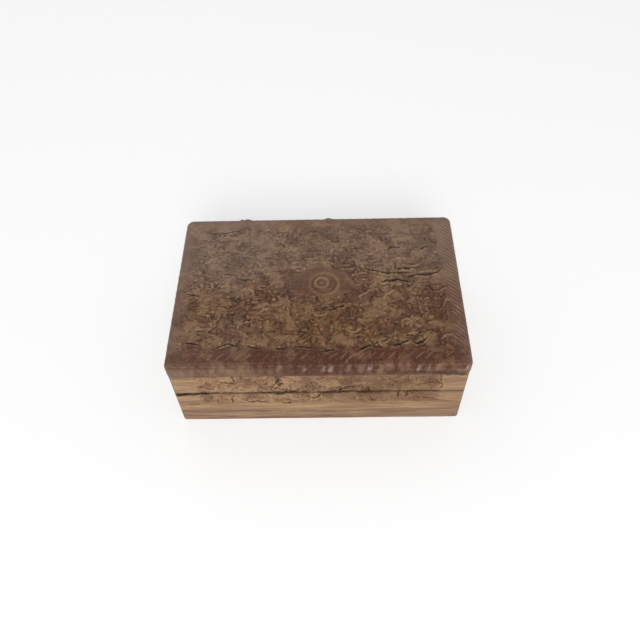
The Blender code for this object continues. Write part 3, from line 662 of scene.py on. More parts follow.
def carved_wear_group():
    """Age and painted shade on carved wood: dirt in hollows, hatched veins, cuts darkened with painted shade
    and dirt, pale rubbed ridges, mottled patches.
    """
    tree, given = new_group("carved wear and shade", "ShaderNodeTree", {
        "Vector": None, "Wood": colour(150, 120, 90), "Dirt": colour(70, 48, 38),
        "Rubbed": colour(160, 130, 95), "Warm": colour(120, 74, 54), "Cool": colour(104, 88, 64),
    }, {"Colour": "Color", "Height": "Float", "Grime": "Float"})
    place, carved, vein = given["Vector"], mark(tree, "carved"), mark(tree, "vein")
    patches = place.noise(95, 6, 0.6)
    mottle = place.noise(300, 5, 0.9)
    speckle = place.noise(1100, 3)
    level_nicks = place.scaled(0.3, 1, 1).noise(850, 2, 0.4)
    steep_nicks = place.scaled(1, 0.3, 0.3).noise(850, 2, 0.4)
    line = vein.math("PINGPONG", 0.5).ranged(0.0, 0.26, 1.0, 0.0)
    line = line * vein.ranged(0.01, 0.4) * patches.ranged(0.38, 0.62, 0.05, 0.55)
    warm = mottle.ranged(0.38, 0.52, 0.55, 0.0) * carved
    cool = mottle.ranged(0.50, 0.64, 0.0, 0.45) * carved
    pale = patches.ranged(0.38, 0.49, 0.4, 0.0) * carved
    scrape = level_nicks.math("MINIMUM", steep_nicks).ranged(0.32, 0.40, 0.4, 0.0) * carved
    rub = mark(tree, "ridge") * speckle.ranged(0.36, 0.60, 0.1, 0.9)
    rub = rub.math("ADD", scrape, clamp=True).math("MAXIMUM", pale)
    stain = patches.ranged(0.48, 0.60, 0.0, 0.42)
    nick = level_nicks.math("MAXIMUM", steep_nicks).ranged(0.63, 0.70) * 0.45
    dirt = mark(tree, "hollow") * speckle.ranged(0.35, 0.65, 0.4, 0.85)
    dirt = dirt.math("ADD", (stain + nick) * carved, clamp=True)
    tone = layered(
        tree, given["Wood"],
        (warm, given["Warm"]),
        (cool, given["Cool"]),
        (rub, given["Rubbed"]),
        (dirt, given["Dirt"]),
        (line * 0.4, given["Dirt"]),
        # painted shade with dirt in cuts, holes and the parting line
        (mark(tree, "shade_and_dirt"), colour(38, 24, 18)),
    )
    height = (speckle - nick) * carved - line
    grime = dirt.math("ADD", line, clamp=True)
    Node(tree, "NodeGroupOutput", {"Colour": tone, "Height": height, "Grime": grime})
    return tree


def finish_wood(tree, tone, heights, roughness, coat=0.0, sheen=WOOD_SHEEN):
    """Joins colour, roughness and bump to the shader. heights are pairs of a height and its real depth."""
    normal = {}
    for height, depth in heights:
        inputs = {"Strength": 1.0, "Distance": depth, "Height": height} | normal
        normal = {"Normal": Node(tree, "ShaderNodeBump", inputs)["Normal"]}
    fill(tree.nodes["Principled BSDF"], {
        "Base Color": tone, "Roughness": roughness, "Specular IOR Level": sheen, "Coat Weight": coat,
        "Coat Roughness": COAT_ROUGHNESS,
    } | normal)


def set_material(piece, material):
    piece.data.materials.clear()
    piece.data.materials.append(material)


def pale_board_material(side):
    """Streaked sapwood, darker on the carved band and towards the right."""
    material, tree = new_material(f"pale sapwood {side}")
    place = object_space(tree, GRAIN_TURNS[side], (0.3 * SIDE_TURNS[side], 0, 0))
    x, _, z = Node(tree, "ShaderNodeSeparateXYZ", {0: place})
    wave = place.scaled(0.12, 1, 1).noise(70, 3, 0.3)
    ramp = Node(tree, "ShaderNodeValToRGB", {0: (z + wave * 0.018 - 0.009) / (STREAKS_HIGH * MM)})
    elements = ramp.node.color_ramp.elements
    while len(elements) < len(FOOT_STREAKS):
        elements.new(1.0)
    for element, (height, tone) in zip(elements, FOOT_STREAKS):
        element.position = height / STREAKS_HIGH
        element.color = colour(*tone)
    grain = add_group(tree, WOOD_GRAIN, Vector=place, Early=colour(168, 136, 98), Late=colour(116, 86, 63),
                      Band_Size=300.0, Pores=0.8, Lines=0.9)
    carved = mark(tree, "carved")
    wood = layered(tree, grain["Colour"], (0.42, ramp[0]), (carved * 0.5, colour(120, 88, 62)))
    wear_and_shade = add_group(tree, CARVED_WEAR_AND_SHADE, Wood=wood, Vector=place, Dirt=colour(82, 54, 40),
                     Rubbed=colour(172, 141, 102), Warm=colour(132, 92, 64), Cool=colour(158, 130, 92))
    aside = x.ranged(-0.03, 0.06, 0.0, 0.5) * carved.ranged(0.0, 1.0, 0.2, 1.0)
    tone = layered(tree, wear_and_shade["Colour"], (aside, colour(84, 54, 32)))
    roughness = wear_and_shade["Grime"].ranged(0.0, 1.0, 0.48, 0.8)
    finish_wood(tree, tone, [(grain["Height"], FINE_BUMP), (wear_and_shade["Height"], PALE_WEAR_BUMP)], roughness)
    return material


WOOD_GRAIN = wood_grain_group()
CARVED_WEAR_AND_SHADE = carved_wear_group()
PALE_BOARDS = {side: pale_board_material(side) for side in SIDE_TURNS}
make_sides("base", "wall")


# Bottom board: a plain thin board in the rabbet, left bare, and six steel panel pins driven up through it.
# Pins and screws are turned pieces: one Geometry Nodes tree makes them all and sets them in their places.
TURNED_SIDES = 24
TURNED_STEPS = 72
BLUNT_TIP = 0.06
BARE_BUMP = 0.00008
METAL_BUMP = 0.00003


def plain_board_material():
    material, tree = new_material("bare board")
    place = object_space(tree, 0.0, (0.07, 0.02, 0))
    grain = add_group(tree, WOOD_GRAIN, Vector=place, Early=colour(196, 168, 130), Late=colour(164, 132, 98),
                      Band_Size=110.0, Pores=0.35)
    stain = place.noise(22, 4).ranged(0.45, 0.75)
    tone = layered(tree, grain["Colour"], (stain * 0.4, colour(128, 98, 72)))
    finish_wood(tree, tone, [(grain["Height"], BARE_BUMP)], stain.ranged(0.0, 1.0, 0.65, 0.8))
    return material


def old_metal_material(name, bright, tarnish, roughness):
    material, tree = new_material(name)
    place = object_space(tree)
    spots = place.noise(420, 5, 0.4).ranged(0.38, 0.66)
    bump = Node(tree, "ShaderNodeBump", {"Distance": METAL_BUMP, "Height": place.noise(3200, 2)})
    fill(tree.nodes["Principled BSDF"], {
        "Metallic": 1.0, "Base Color": layered(tree, bright, (spots, tarnish)),
        "Roughness": spots.ranged(0.0, 1.0, roughness, roughness + 0.25), "Normal": bump["Normal"],
    })
    return material


def turned_fixings_tree():
    """A screw or pin for each point that comes in: a tapered head, a threaded or plain shank and a point.

    Each lies along its point's "aim", and its slot, if it has one, is turned at random.
    """
    tree, given = new_group("turned fixings", "GeometryNodeTree", {
        "Geometry": None, "Material": None, "Head Radius": 0.0017, "Head Height": 0.0007,
        "Shank Radius": 0.001, "Length": 0.0095, "Point Length": 0.0025, "Thread Depth": 0.00015,
        "Thread Pitch": 0.0009, "Slot Width": 0.0005, "Slot Depth": 0.00035, "Slotted": True, "Seed": 1,
    }, {"Geometry": "Geometry"})
    rod = Node(tree, "GeometryNodeMeshCylinder", {
        "Vertices": TURNED_SIDES, "Side Segments": TURNED_STEPS, "Radius": 1.0, "Depth": 1.0})
    x, y, z = Node(tree, "ShaderNodeSeparateXYZ", {0: Node(tree, "GeometryNodeInputPosition")[0]})
    down = (0.5 - z) * given["Length"]
    taper = (1.0 - down / given["Head Height"]).math("MAXIMUM", 0.0)
    flare = taper * (given["Head Radius"] - given["Shank Radius"])
    winding = down / given["Thread Pitch"] * math.tau + y.math("ARCTAN2", x)
    below_head = down.math("GREATER_THAN", given["Head Height"] * 1.5)
    thread = winding.math("SINE") * given["Thread Depth"] * below_head
    left = (given["Length"] - down) / given["Point Length"]
    point = left.math("MINIMUM", 1.0).math("MAXIMUM", BLUNT_TIP)
    radius = (given["Shank Radius"] + flare + thread) * point
    moved = Node(tree, "ShaderNodeCombineXYZ", {0: x * radius, 1: y * radius, 2: down * -1.0})
    shape = Node(tree, "GeometryNodeSetPosition", {"Geometry": rod["Mesh"], "Position": moved[0]})
    blade_size = Node(tree, "ShaderNodeCombineXYZ", {
        0: given["Head Radius"] * 3.0, 1: given["Slot Width"], 2: given["Slot Depth"] * 2.0})
    blade = Node(tree, "GeometryNodeMeshCube", {"Size": blade_size[0]})
    cut = Node(tree, "GeometryNodeMeshBoolean", {"Mesh 1": shape[0], "Mesh 2": blade["Mesh"]},
               operation="DIFFERENCE")
    chosen = Node(tree, "GeometryNodeSwitch", {
        "Switch": given["Slotted"], "False": shape[0], "True": cut["Mesh"]}, input_type="GEOMETRY")
    aim = Node(tree, "GeometryNodeInputNamedAttribute", {"Name": "aim"}, data_type="FLOAT_VECTOR")
    aligned = Node(tree, "FunctionNodeAlignRotationToVector", {"Vector": aim["Attribute"]}, axis="Z")
    spun = Node(tree, "FunctionNodeRandomValue", {"Max": math.pi, "Seed": given["Seed"]}, data_type="FLOAT")
    placed = Node(tree, "GeometryNodeInstanceOnPoints", {
        "Points": given["Geometry"], "Instance": chosen[0], "Rotation": aligned[0]})
    spin = Node(tree, "ShaderNodeCombineXYZ", {2: spun[1]})
    rotated = Node(tree, "GeometryNodeRotateInstances", {"Instances": placed[0], "Rotation": spin[0]})
    return end_tree(tree, given, rotated[0])


def end_tree(tree, given, geometry):
    """Ends a tree with real geometry, in the material that comes in."""
    real = Node(tree, "GeometryNodeRealizeInstances", {"Geometry": geometry})
    painted = Node(tree, "GeometryNodeSetMaterial", {"Geometry": real[0], "Material": given["Material"]})
    Node(tree, "NodeGroupOutput", {"Geometry": painted[0]})
    return tree


def through_tree(piece, tree, **values):
    """Runs a piece through a Geometry Nodes tree and keeps the outcome as its plain mesh."""
    modifier = piece.modifiers.new(tree.name, "NODES")
    modifier.node_group = tree
    for socket in tree.interface.items_tree:
        label = socket.name.replace(" ", "_")
        if label in values:
            modifier[socket.identifier] = values[label]
    depsgraph = bpy.context.evaluated_depsgraph_get()
    evaluated = piece.evaluated_get(depsgraph)
    mesh = bpy.data.meshes.new_from_object(evaluated, preserve_all_data_layers=True, depsgraph=depsgraph)
    piece.modifiers.remove(modifier)
    piece.data = mesh
    mesh.set_sharp_from_angle(angle=math.radians(45))


def fixings(name, nodes, heads_up, body, slot, **sizes):
    """One piece with all the screws or pins of a body, each where its CAD node is."""
    places, aims = [], []
    for node in nodes:
        low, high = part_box(node)
        middle = (low + high) / 2
        places.append((middle.x, middle.y, high.z if heads_up else low.z))
        aims.append((0, 0, 1 if heads_up else -1))
    mesh = bpy.data.meshes.new(name)
    mesh.from_pydata(places, [], [])
    aim = mesh.attributes.new("aim", "FLOAT_VECTOR", "POINT")
    aim.data.foreach_set("vector", np.ravel(aims).astype(float))
    piece = add_object(name, mesh)
    through_tree(piece, TURNED_FIXINGS, **sizes)
    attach(piece, body)
    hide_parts(*nodes)


TURNED_FIXINGS = turned_fixings_tree()
BRASS = old_metal_material("aged brass", colour(158, 136, 92), colour(112, 92, 60), 0.38)
STEEL = old_metal_material("dull steel", colour(150, 146, 140), colour(96, 82, 70), 0.38)
set_material(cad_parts["bottom_board"], plain_board_material())
PIN_NODES = [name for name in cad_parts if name.startswith("bottom_panel_pin")]
fixings("bottom_panel_pins", PIN_NODES, False, "base", "steel", Material=STEEL, Head_Radius=0.0013,
        Head_Height=0.0005, Shank_Radius=0.00065, Length=0.0129, Point_Length=0.0015, Thread_Depth=0.0,
        Slotted=False)


# Rails of the lid: the same pale boards, glued under the top board, with the upper half of the carved band.
# The front one is the most handled piece, and its lower rim has chipped along the left half.
make_sides("lid", "rail")


# Top board: one thick dark board with a rounded edge. Leaves in low relief fill it round an oval and rosette,
# a rope of slanting gouge cuts frames them, and short flutes run over the edge. Hands have worn all of it.
TOP_CORNER = 5.5
TOP_EDGE_ROUND = 4.5
TOP_FLAT = TOP_CORNER - TOP_EDGE_ROUND
TOP_LAP = 0.25
TOP_STEP = 0.58
TOP_SIDE_STEPS = 6
FIELD_HALF_X = 88.0
FIELD_FRONT_Y = -54.5
FIELD_BACK_Y = 57.0
FIELD_DEPTH = 0.85
FIELD_MIDDLE = -0.42
HATCH_SPACING = 1.35
OVAL_CENTRE = (2.0, 3.0)
OVAL_HALF_X = 22.0
OVAL_HALF_Y = 14.0
ROSETTE_CENTRE = (2.6, 2.9)
OUTER_RING_CENTRE = (4.5, 1.6)
OUTER_RING_RADIUS = 9.9
INNER_RING_RADIUS = 4.5
STROKE_PITCH = 6.2
GROOVE_PITCH = 3.6
FLUTE_PITCH = 6.4
CUT_DEPTH = 0.0005
FLUTE_DEPTH = 0.0007
SWAY_SCALE = 0.11
ABOVE_ZERO = 1000.0
DARK_WOOD_SHEEN = 0.1
DARK_WEAR_BUMP = 0.00018
# Dust on the top with a painted sheen: a grey that also stands in for the bright room reflected at a low
# angle
DUST_AND_SHEEN_TONE = colour(138, 119, 108)

# Deep cuts and splits in the top, read off the photograph, in millimetres from its middle
DEEP_CUTS = (
    [(-83, 53), (-75.5, 51.5), (-70, 52), (-62.5, 54), (-55, 56.5)],
    [(-73.5, 14), (-68, 15.5)],
    [(-67, 11.5), (-63.5, 12), (-60, 10.5)],
    [(-55, 7), (-45.5, 6)],
    [(-40, -1), (-36, 0), (-33.5, 3)],
    [(-91, -6), (-87, -6.5), (-83, -8)],
    [(-51, -30.5), (-47.5, -29), (-42.5, -29)],
    [(-87, -47.5), (-83, -48), (-79, -49)],
    [(-66.5, -52), (-62, -50), (-58.5, -48.5), (-53, -51)],
    [(-46, -50.5), (-39, -53)],
    [(-28, -52.5), (-20.5, -53.5)],
    [(-15.5, -53.5), (-13, -51.5), (-4.5, -52.5)],
    [(4, -55.5), (10, -54)],
    [(51, 34.5), (55, 36), (59, 35.5)],
    [(74, 34), (81, 36.5)],
    [(34, 15.5), (47.5, 11.5), (55.5, 11), (64.5, 11)],
    [(58, 14.5), (66, 15.5)],
    [(44.5, 2), (49, 4.5), (57, 4.5), (65, 2.5)],
    [(63, 7.5), (71.5, 9.5), (81.5, 10), (87.5, 14)],
    [(7.5, -21.5), (13, -19.5), (18, -18)],
    [(27.5, -54.5), (32.5, -52), (39, -48.5)],
    [(50, -51.5), (59, -48)],
    [(64.5, -50), (69, -48), (72, -44.5)],
)
# Thin pale ridges between the cuts, read off it too
TOP_RIDGES = (
    [(27, -11), (37.5, -4.5), (46.5, 1.5), (58.5, 0.5)],
    [(25, 10), (34, 11), (43, 7), (51, 6)],
    [(26, 6), (35, 5)],
    [(20, 15.5), (26, 15.5)],
    [(28.5, 27.5), (36, 29), (41, 31.5)],
    [(52, 22.5), (60.5, 25.5), (68.5, 23.5)],
    [(60, 17.5), (68, 16.5), (75.5, 20.5)],
    [(80.5, -7.5), (86, -5.5), (89.5, -4)],
    [(85.5, -19.5), (88, -14.5), (92.5, -16), (95.5, -22)],
    [(71, -27), (75, -25)],
    [(45.5, -14), (47, -9), (53, -5.5)],
    [(40.5, -22.5), (47, -24.5)],
    [(56, -37), (57, -31), (61, -30), (63.5, -33.5)],
    [(61, -42), (67, -41)],
    [(79.5, -47), (87.5, -43.5), (91.5, -47)],
    [(48, -52.5), (56, -50), (61.5, -47.5)],
    [(30.5, -54), (37, -49.5), (44.5, -48.5), (47.5, -46.5)],
    [(18, -65), (20, -61.5), (25.5, -58.5), (31.5, -55)],
    [(18.5, -37.5), (24.5, -40), (29.5, -36.5)],
    [(9.5, -34), (9, -40)],
    [(-4.5, -17.5), (-1, -25.5), (5.5, -25), (8, -19), (4, -16)],
    [(-20.5, -17.5), (-19.5, -25)],
    [(-35, -3.5), (-31, -8), (-30, -13)],
    [(-39, -22), (-33, -19)],
    [(-53.5, -4), (-50, -1), (-46, -3), (-45, -7), (-49.5, -9.5)],
    [(-77, -6.5), (-70, -4.5), (-62.5, -1)],
    [(-88, 13.5), (-82, 13.5)],
    [(-41, 15.5), (-37, 16.5), (-33.5, 14)],
    [(-19, 17), (-14.5, 18), (-8.5, 16)],
    [(-10.5, 25), (-2, 26), (5, 25)],
    [(-80, 24.5), (-75, 27), (-69.5, 23)],
    [(-78, 33.5), (-68.5, 34.5), (-54.5, 33)],
    [(-53.5, 34), (-50, 36.5), (-47, 38.5)],
    [(-44, 51), (-39, 54.5), (-35.5, 56.5)],
    [(-33, 47), (-27, 52), (-21.5, 58)],
)
# Splinters that stand up along the back edge
BACK_SPLINTERS = (
    [(-59, 67), (-54.5, 67.5), (-50.5, 67)],
    [(5.5, 67), (10.5, 67)],
)
# Patches of fine parallel cuts: middle, half sizes and the way across the cuts
HATCHED_PATCHES = (
    (-52, 12, 13, 5, 0),
    (-78, -26, 7, 11, 0.1),
    (-57, -42, 8, 9, 0.05),
    (-24, -40, 12, 9, 1.4),
    (30, -36, 12, 10, 0.9),
    (-5, 44, 13, 9, 1.1),
    (66, -24, 11, 9, 1.3),
    (-40, 38, 13, 7, 0.3),
)
# Patches of golden wood: middle, half sizes and strength
GOLD_PATCHES = (
    (-2, -33, 40, 17, 1.0),
    (40, -40, 40, 16, 0.6),
    (62, 20, 13, 8, 0.8),
    (2, 13, 8, 4, 0.3),
)
# Painted highlights on the flutes of the front edge, first the whitish ones, then the tan ones: place along
# it and half width
FRONT_PAINTED_GLINTS = ((-8.5, 1.4), (3.8, 1.6), (8.5, 1.4), (33.4, 1.6), (65.0, 1.1), (71.5, 0.8), (97.0, 1.6))
TAN_PAINTED_HIGHLIGHTS = ((19.5, 1.6), (28.0, 2.2), (41.0, 1.8), (56.5, 2.4), (77.0, 1.8), (-26.0, 1.5))


def top_leaves():
    """Overlapping leaves in jittered rows, laid in a random order, which head away from the middle."""
    rng = np.random.default_rng(5)
    leaves = []
    for row, row_y in enumerate(np.linspace(48, -44, 8)):
        for x in np.linspace(-82, 82, 12) + (4 if row % 2 else -4):
            x, y = x + rng.uniform(-4, 4), row_y + rng.uniform(-3.5, 3.5)
            heading = math.atan2(y, x) + rng.uniform(-1.3, 1.3)
            leaves.append((x, y, heading, rng.uniform(8.0, 13.0), rng.uniform(-0.65, -0.05)))
    rng.shuffle(leaves)
    return leaves + [(60.6, 19.0, 0.3, 13.0, 0.0), (-70.0, 27.0, 2.5, 13.0, -0.05)]


def field_relief(relief, x, y):
    """The worn carving inside the border, with cuts, ridges and splinters. Gives where it lies, 0 to 1."""
    wander_x = x + 1.9 * random_lumps(x, y, 9, 1, 3)
    wander_y = y + 1.9 * random_lumps(x, y, 9, 5, 3)
    inside = ease((FIELD_HALF_X + np.where(x < 0, 11, 1) - np.abs(wander_x)) / np.where(x < 0, 12, 4))
    inside = inside * ease((FIELD_BACK_Y + 8 - wander_y) / 12) * ease((wander_y - FIELD_FRONT_Y) / 3)
    relief["height"] = -FIELD_DEPTH * inside
    for leaf in top_leaves():
        carve_leaf(relief, wander_x, wander_y, *leaf)
    for middle_x, middle_y, half_x, half_y, turn in HATCHED_PATCHES:
        patch = np.hypot((wander_x - middle_x) / half_x, (wander_y - middle_y) / half_y) < 1
        relief["vein"] = np.where(patch, 40 + turned(x, y, turn)[0] / HATCH_SPACING, relief["vein"])
    wear_down(relief, inside, FIELD_MIDDLE, random_lumps(x, y, 14, 15, 3), 0.1, 0.75)
    low, high = (-FIELD_HALF_X - 9, FIELD_FRONT_Y), (FIELD_HALF_X, FIELD_BACK_Y + 7)
    chop_marks(relief, x, y, 700, 11, low, high, (3.0, 11.0), (-0.4, 0.55), 0.35)
    chop_marks(relief, x, y, 800, 12, low, high, (1.6, 5.0), (-0.35, 0.5), 1.6)
    relief["height"] = relief["height"] * ease(inside * 1.6)
    grain = 0.14 * random_lumps(x, y, 2.4, 16, 3) + 0.1 * random_lumps(x / 5, y, 1.3, 18, 2)
    relief["height"] += inside * grain
    for points in TOP_RIDGES:
        carve_line(relief, x, y, points, 0.9, -0.4, pale=0.9)
    for points in BACK_SPLINTERS:
        carve_line(relief, x, y, points, 1.4, -0.9)
    # Deep cuts get painted shade with dirt in them and a raised lip on the near side
    for points in DEEP_CUTS:
        wide = 0.85 if points[0][0] < 0 else 1.25
        carve_line(relief, x, y, points, wide, wide, 0.6 + 0.3 * wide, 0.35)
    return inside


def oval_and_rosette(relief, x, y):
    """A smooth sunk oval, and the rings of the rosette turned into it. Gives where the oval lies."""
    far = np.hypot((x - OVAL_CENTRE[0]) / OVAL_HALF_X, (y - OVAL_CENTRE[1]) / OVAL_HALF_Y)
    oval = ease((1.12 + 0.1 * random_lumps(x, y, 5, 44) - far) / 0.3)
    calm = 0.9 * oval
    relief["height"] = relief["height"] * (1 - calm) - 0.45 * calm
    relief["vein"] *= oval < 0.3
    relief["shade_and_dirt"] *= 1 - calm
    inner = np.hypot(x - ROSETTE_CENTRE[0], y - ROSETTE_CENTRE[1])
    out_x, out_y = x - OUTER_RING_CENTRE[0], y - OUTER_RING_CENTRE[1]
    outer = np.hypot(out_x, out_y)
    bright = 0.65 + 0.35 * np.cos(np.arctan2(out_y, out_x) + 0.6)
    rings = 0.16 * hump(inner - INNER_RING_RADIUS, 1.0) + 0.18 * bright * hump(outer - OUTER_RING_RADIUS, 1.6)
    rings = rings - 0.26 * hump(inner - 2.2, 0.9) - 0.16 * hump(inner - 6.6, 0.8)
    rings = rings - 0.2 * hump(outer - 8.0, 0.7)
    relief["height"] += rings
    relief["ring"] = np.clip(rings / 0.2, 0, 1) * (0.75 + 0.5 * random_lumps(x, y, 2.2, 45, 2))
    return oval


def rope_and_flute_places(relief, x, y, half_x, half_y, beyond):
    """Where the rope cuts and the edge flutes go: the way along each side and in from it, and how much."""
    sides = (
        ("front", x, half_y + y, 2 * FIELD_HALF_X, 4.8, 13.6, 1.0, 1.0),
        ("right", y, half_x - x, 2 * FIELD_BACK_Y, 0.0, 12.0, 1.0, 0.0),
        ("back", -x, half_y - y, 2 * FIELD_HALF_X, 3.2, 13.0, 0.5, 0.25),
        ("left", -y, half_x + x, 2 * FIELD_BACK_Y, 3.2, 12.0, 0.3, 0.25),
    )
    nearest = np.argmin([inward for _, _, inward, *_ in sides], axis=0)
    for key in ("run", "inward", "border", "ends", "edge"):
        relief[key] = np.zeros(x.shape)
    for k, (side, run, inward, length, start, margin, rope_wear, flute_wear) in enumerate(sides):
        seed = 60 + SIDE_TURNS[side]
        ends = ease((length / 2 + 2 - np.abs(run)) / 3)
        patchy = ease(0.9 + 0.9 * random_lumps(run, inward, 8, seed))
        border = ease((margin - 2.0 - inward) / 2) * ease((inward - start) / 2) * ends * patchy * rope_wear
        over = ease((beyond - 0.6) / 2.5) * ease((12.5 - beyond) / 2.0)
        uneven = np.clip(0.7 + 0.6 * random_lumps(run, beyond * 0, 13, seed + 20, 2), 0, 1.3)
        if side == "front":
            uneven = uneven * (0.6 + 0.4 * ease((run + 55) / 25))
        edge = over * uneven * flute_wear * ease((length / 2 + 6 - np.abs(run)) / 4)
        rope = "ends" if side in ("left", "right") else "border"
        for key, value in (("run", run), ("inward", inward), (rope, border), ("edge", edge)):
            relief[key] = np.where(nearest == k, value, relief[key])


def gouge_row_tree():
    """A row of gouge cuts pressed in along "run", leaning with "inward", where a mask allows them."""
    tree, given = new_group("row of gouge cuts", "GeometryNodeTree", {
        "Geometry": None, "Material": None, "Where": "border", "Mark": "stroke", "Pitch": 6.2, "Lean": 0.9,
        "Bend": 0.0, "Width": 0.7, "Depth": 0.0005, "Wander": 1.0, "Seed": 0.0,
    }, {"Geometry": "Geometry"})

    def attribute(name):
        return Node(tree, "GeometryNodeInputNamedAttribute", {"Name": name}, data_type="FLOAT")["Attribute"]

    run, inward = attribute("run"), attribute("inward")
    spot = {0: run * SWAY_SCALE, 1: inward * SWAY_SCALE, 2: given["Seed"]}
    spot = Node(tree, "ShaderNodeCombineXYZ", spot)
    sway = spot[0].noise(1.0, 2) - 0.5
    lean = inward * given["Lean"] + inward * inward * given["Bend"]
    slope = run - lean + sway * (given["Wander"] * 2.0)
    share = (slope + ABOVE_ZERO).math("PINGPONG", given["Pitch"] / 2.0) / given["Width"]
    cut = (share * share * -1.0).math("EXPONENT") * attribute(given["Where"])
    stored = {"Geometry": given["Geometry"], "Name": given["Mark"], "Value": cut}
    kept = Node(tree, "GeometryNodeStoreNamedAttribute", stored, data_type="FLOAT", domain="POINT")
    normal = Node(tree, "GeometryNodeInputNormal")[0]
    press = attribute(given["Mark"]) * given["Depth"] * -1.0
    inwards = Node(tree, "ShaderNodeVectorMath", {0: normal, "Scale": press}, operation="SCALE")
    pressed = Node(tree, "GeometryNodeSetPosition", {"Geometry": kept[0], "Offset": inwards[0]})
    return end_tree(tree, given, pressed[0])


def top_tones(relief, x, y, carved, oval, beyond):
    """Where the board is golden, dusty with a painted sheen, red, bare, glossy or painted with highlights, as
    the photograph shows it.
    """
    gold = sum(share * hump(x - middle_x, half_x) * hump(y - middle_y, half_y)
               for middle_x, middle_y, half_x, half_y, share in GOLD_PATCHES)
    # Dust and a painted sheen: grey towards the back, the left and the ends, the room's reflection painted in
    # with the dust
    dust_and_sheen = ease((y + 14) / 46) * (0.62 + 0.22 * ease(-x / 70) + 0.08 * ease((x - 10) / 50))
    dust_and_sheen = dust_and_sheen + 0.2 * ease((-15 - x) / 50) + 0.25 * ease((np.abs(x) - 84) / 8)
    front = ease((-50 - y) / 4) * ease((101 - np.abs(x)) / 3)
    shade = ease((-2 - y) / 30) * (0.14 + 0.24 * ease((x - 5) / 50))
    left = ease((-8 - x) / 45)
    worn_edge = 1 - 0.85 * ease((beyond - 5) / 2) * left
    bare = ease((beyond - 5) / 2) * left * (0.4 + 0.6 * random_lumps(x, y, 5, 41, 3))
    sway = x + 0.5 * random_lumps(x, y, 1.6, 43, 2) + 0.25 * (beyond - 7)
    # Painted highlights on the flutes of the front edge: whitish glints, then tan ones
    painted_glint = sum(hump(sway - place, half, 4) for place, half in FRONT_PAINTED_GLINTS) * hump(beyond - 7.5, 2.6, 4)
    tan = sum(hump(sway - place, half, 4) for place, half in TAN_PAINTED_HIGHLIGHTS) * hump(beyond - 7.5, 3.2, 4)
    tones = {
        "gold": gold + 0.35 * relief["ring"] + 0.35 * random_lumps(x, y, 18, 21, 3),
        "dust_and_sheen": dust_and_sheen + 0.18 * random_lumps(x, y, 20, 31, 3),
        "red": front * worn_edge * (1 + 0.3 * random_lumps(x, y, 12, 35, 2)) + 0.35 * oval + shade,
        # bare: worn pale wood on the left of the front edge, with painted tan highlights on some flutes and a
        # painted highlight line along the top of the rounding on the left
        "bare": front * (bare + 0.9 * tan + 0.5 * hump(beyond - 2.2, 0.7) * left),
        "polish": np.maximum(1 - carved, oval * 0.5),
        "painted_glint": front * painted_glint * (0.6 + 0.9 * random_lumps(x, y, 1.4, 37, 2)),
    }
    relief |= {key: np.clip(value, 0, 1) for key, value in tones.items()}
    # A painted shadow line along the lower part of the front edge, towards the right, under the overhang
    overhang_shadow = hump(beyond - 11.0 - (x - 58) / 16 - 0.5 * random_lumps(x, y * 0, 6, 39), 0.9)
    relief["shade_and_dirt"] = np.maximum(relief["shade_and_dirt"], 0.9 * front * overhang_shadow * ease((x - 58) / 8))


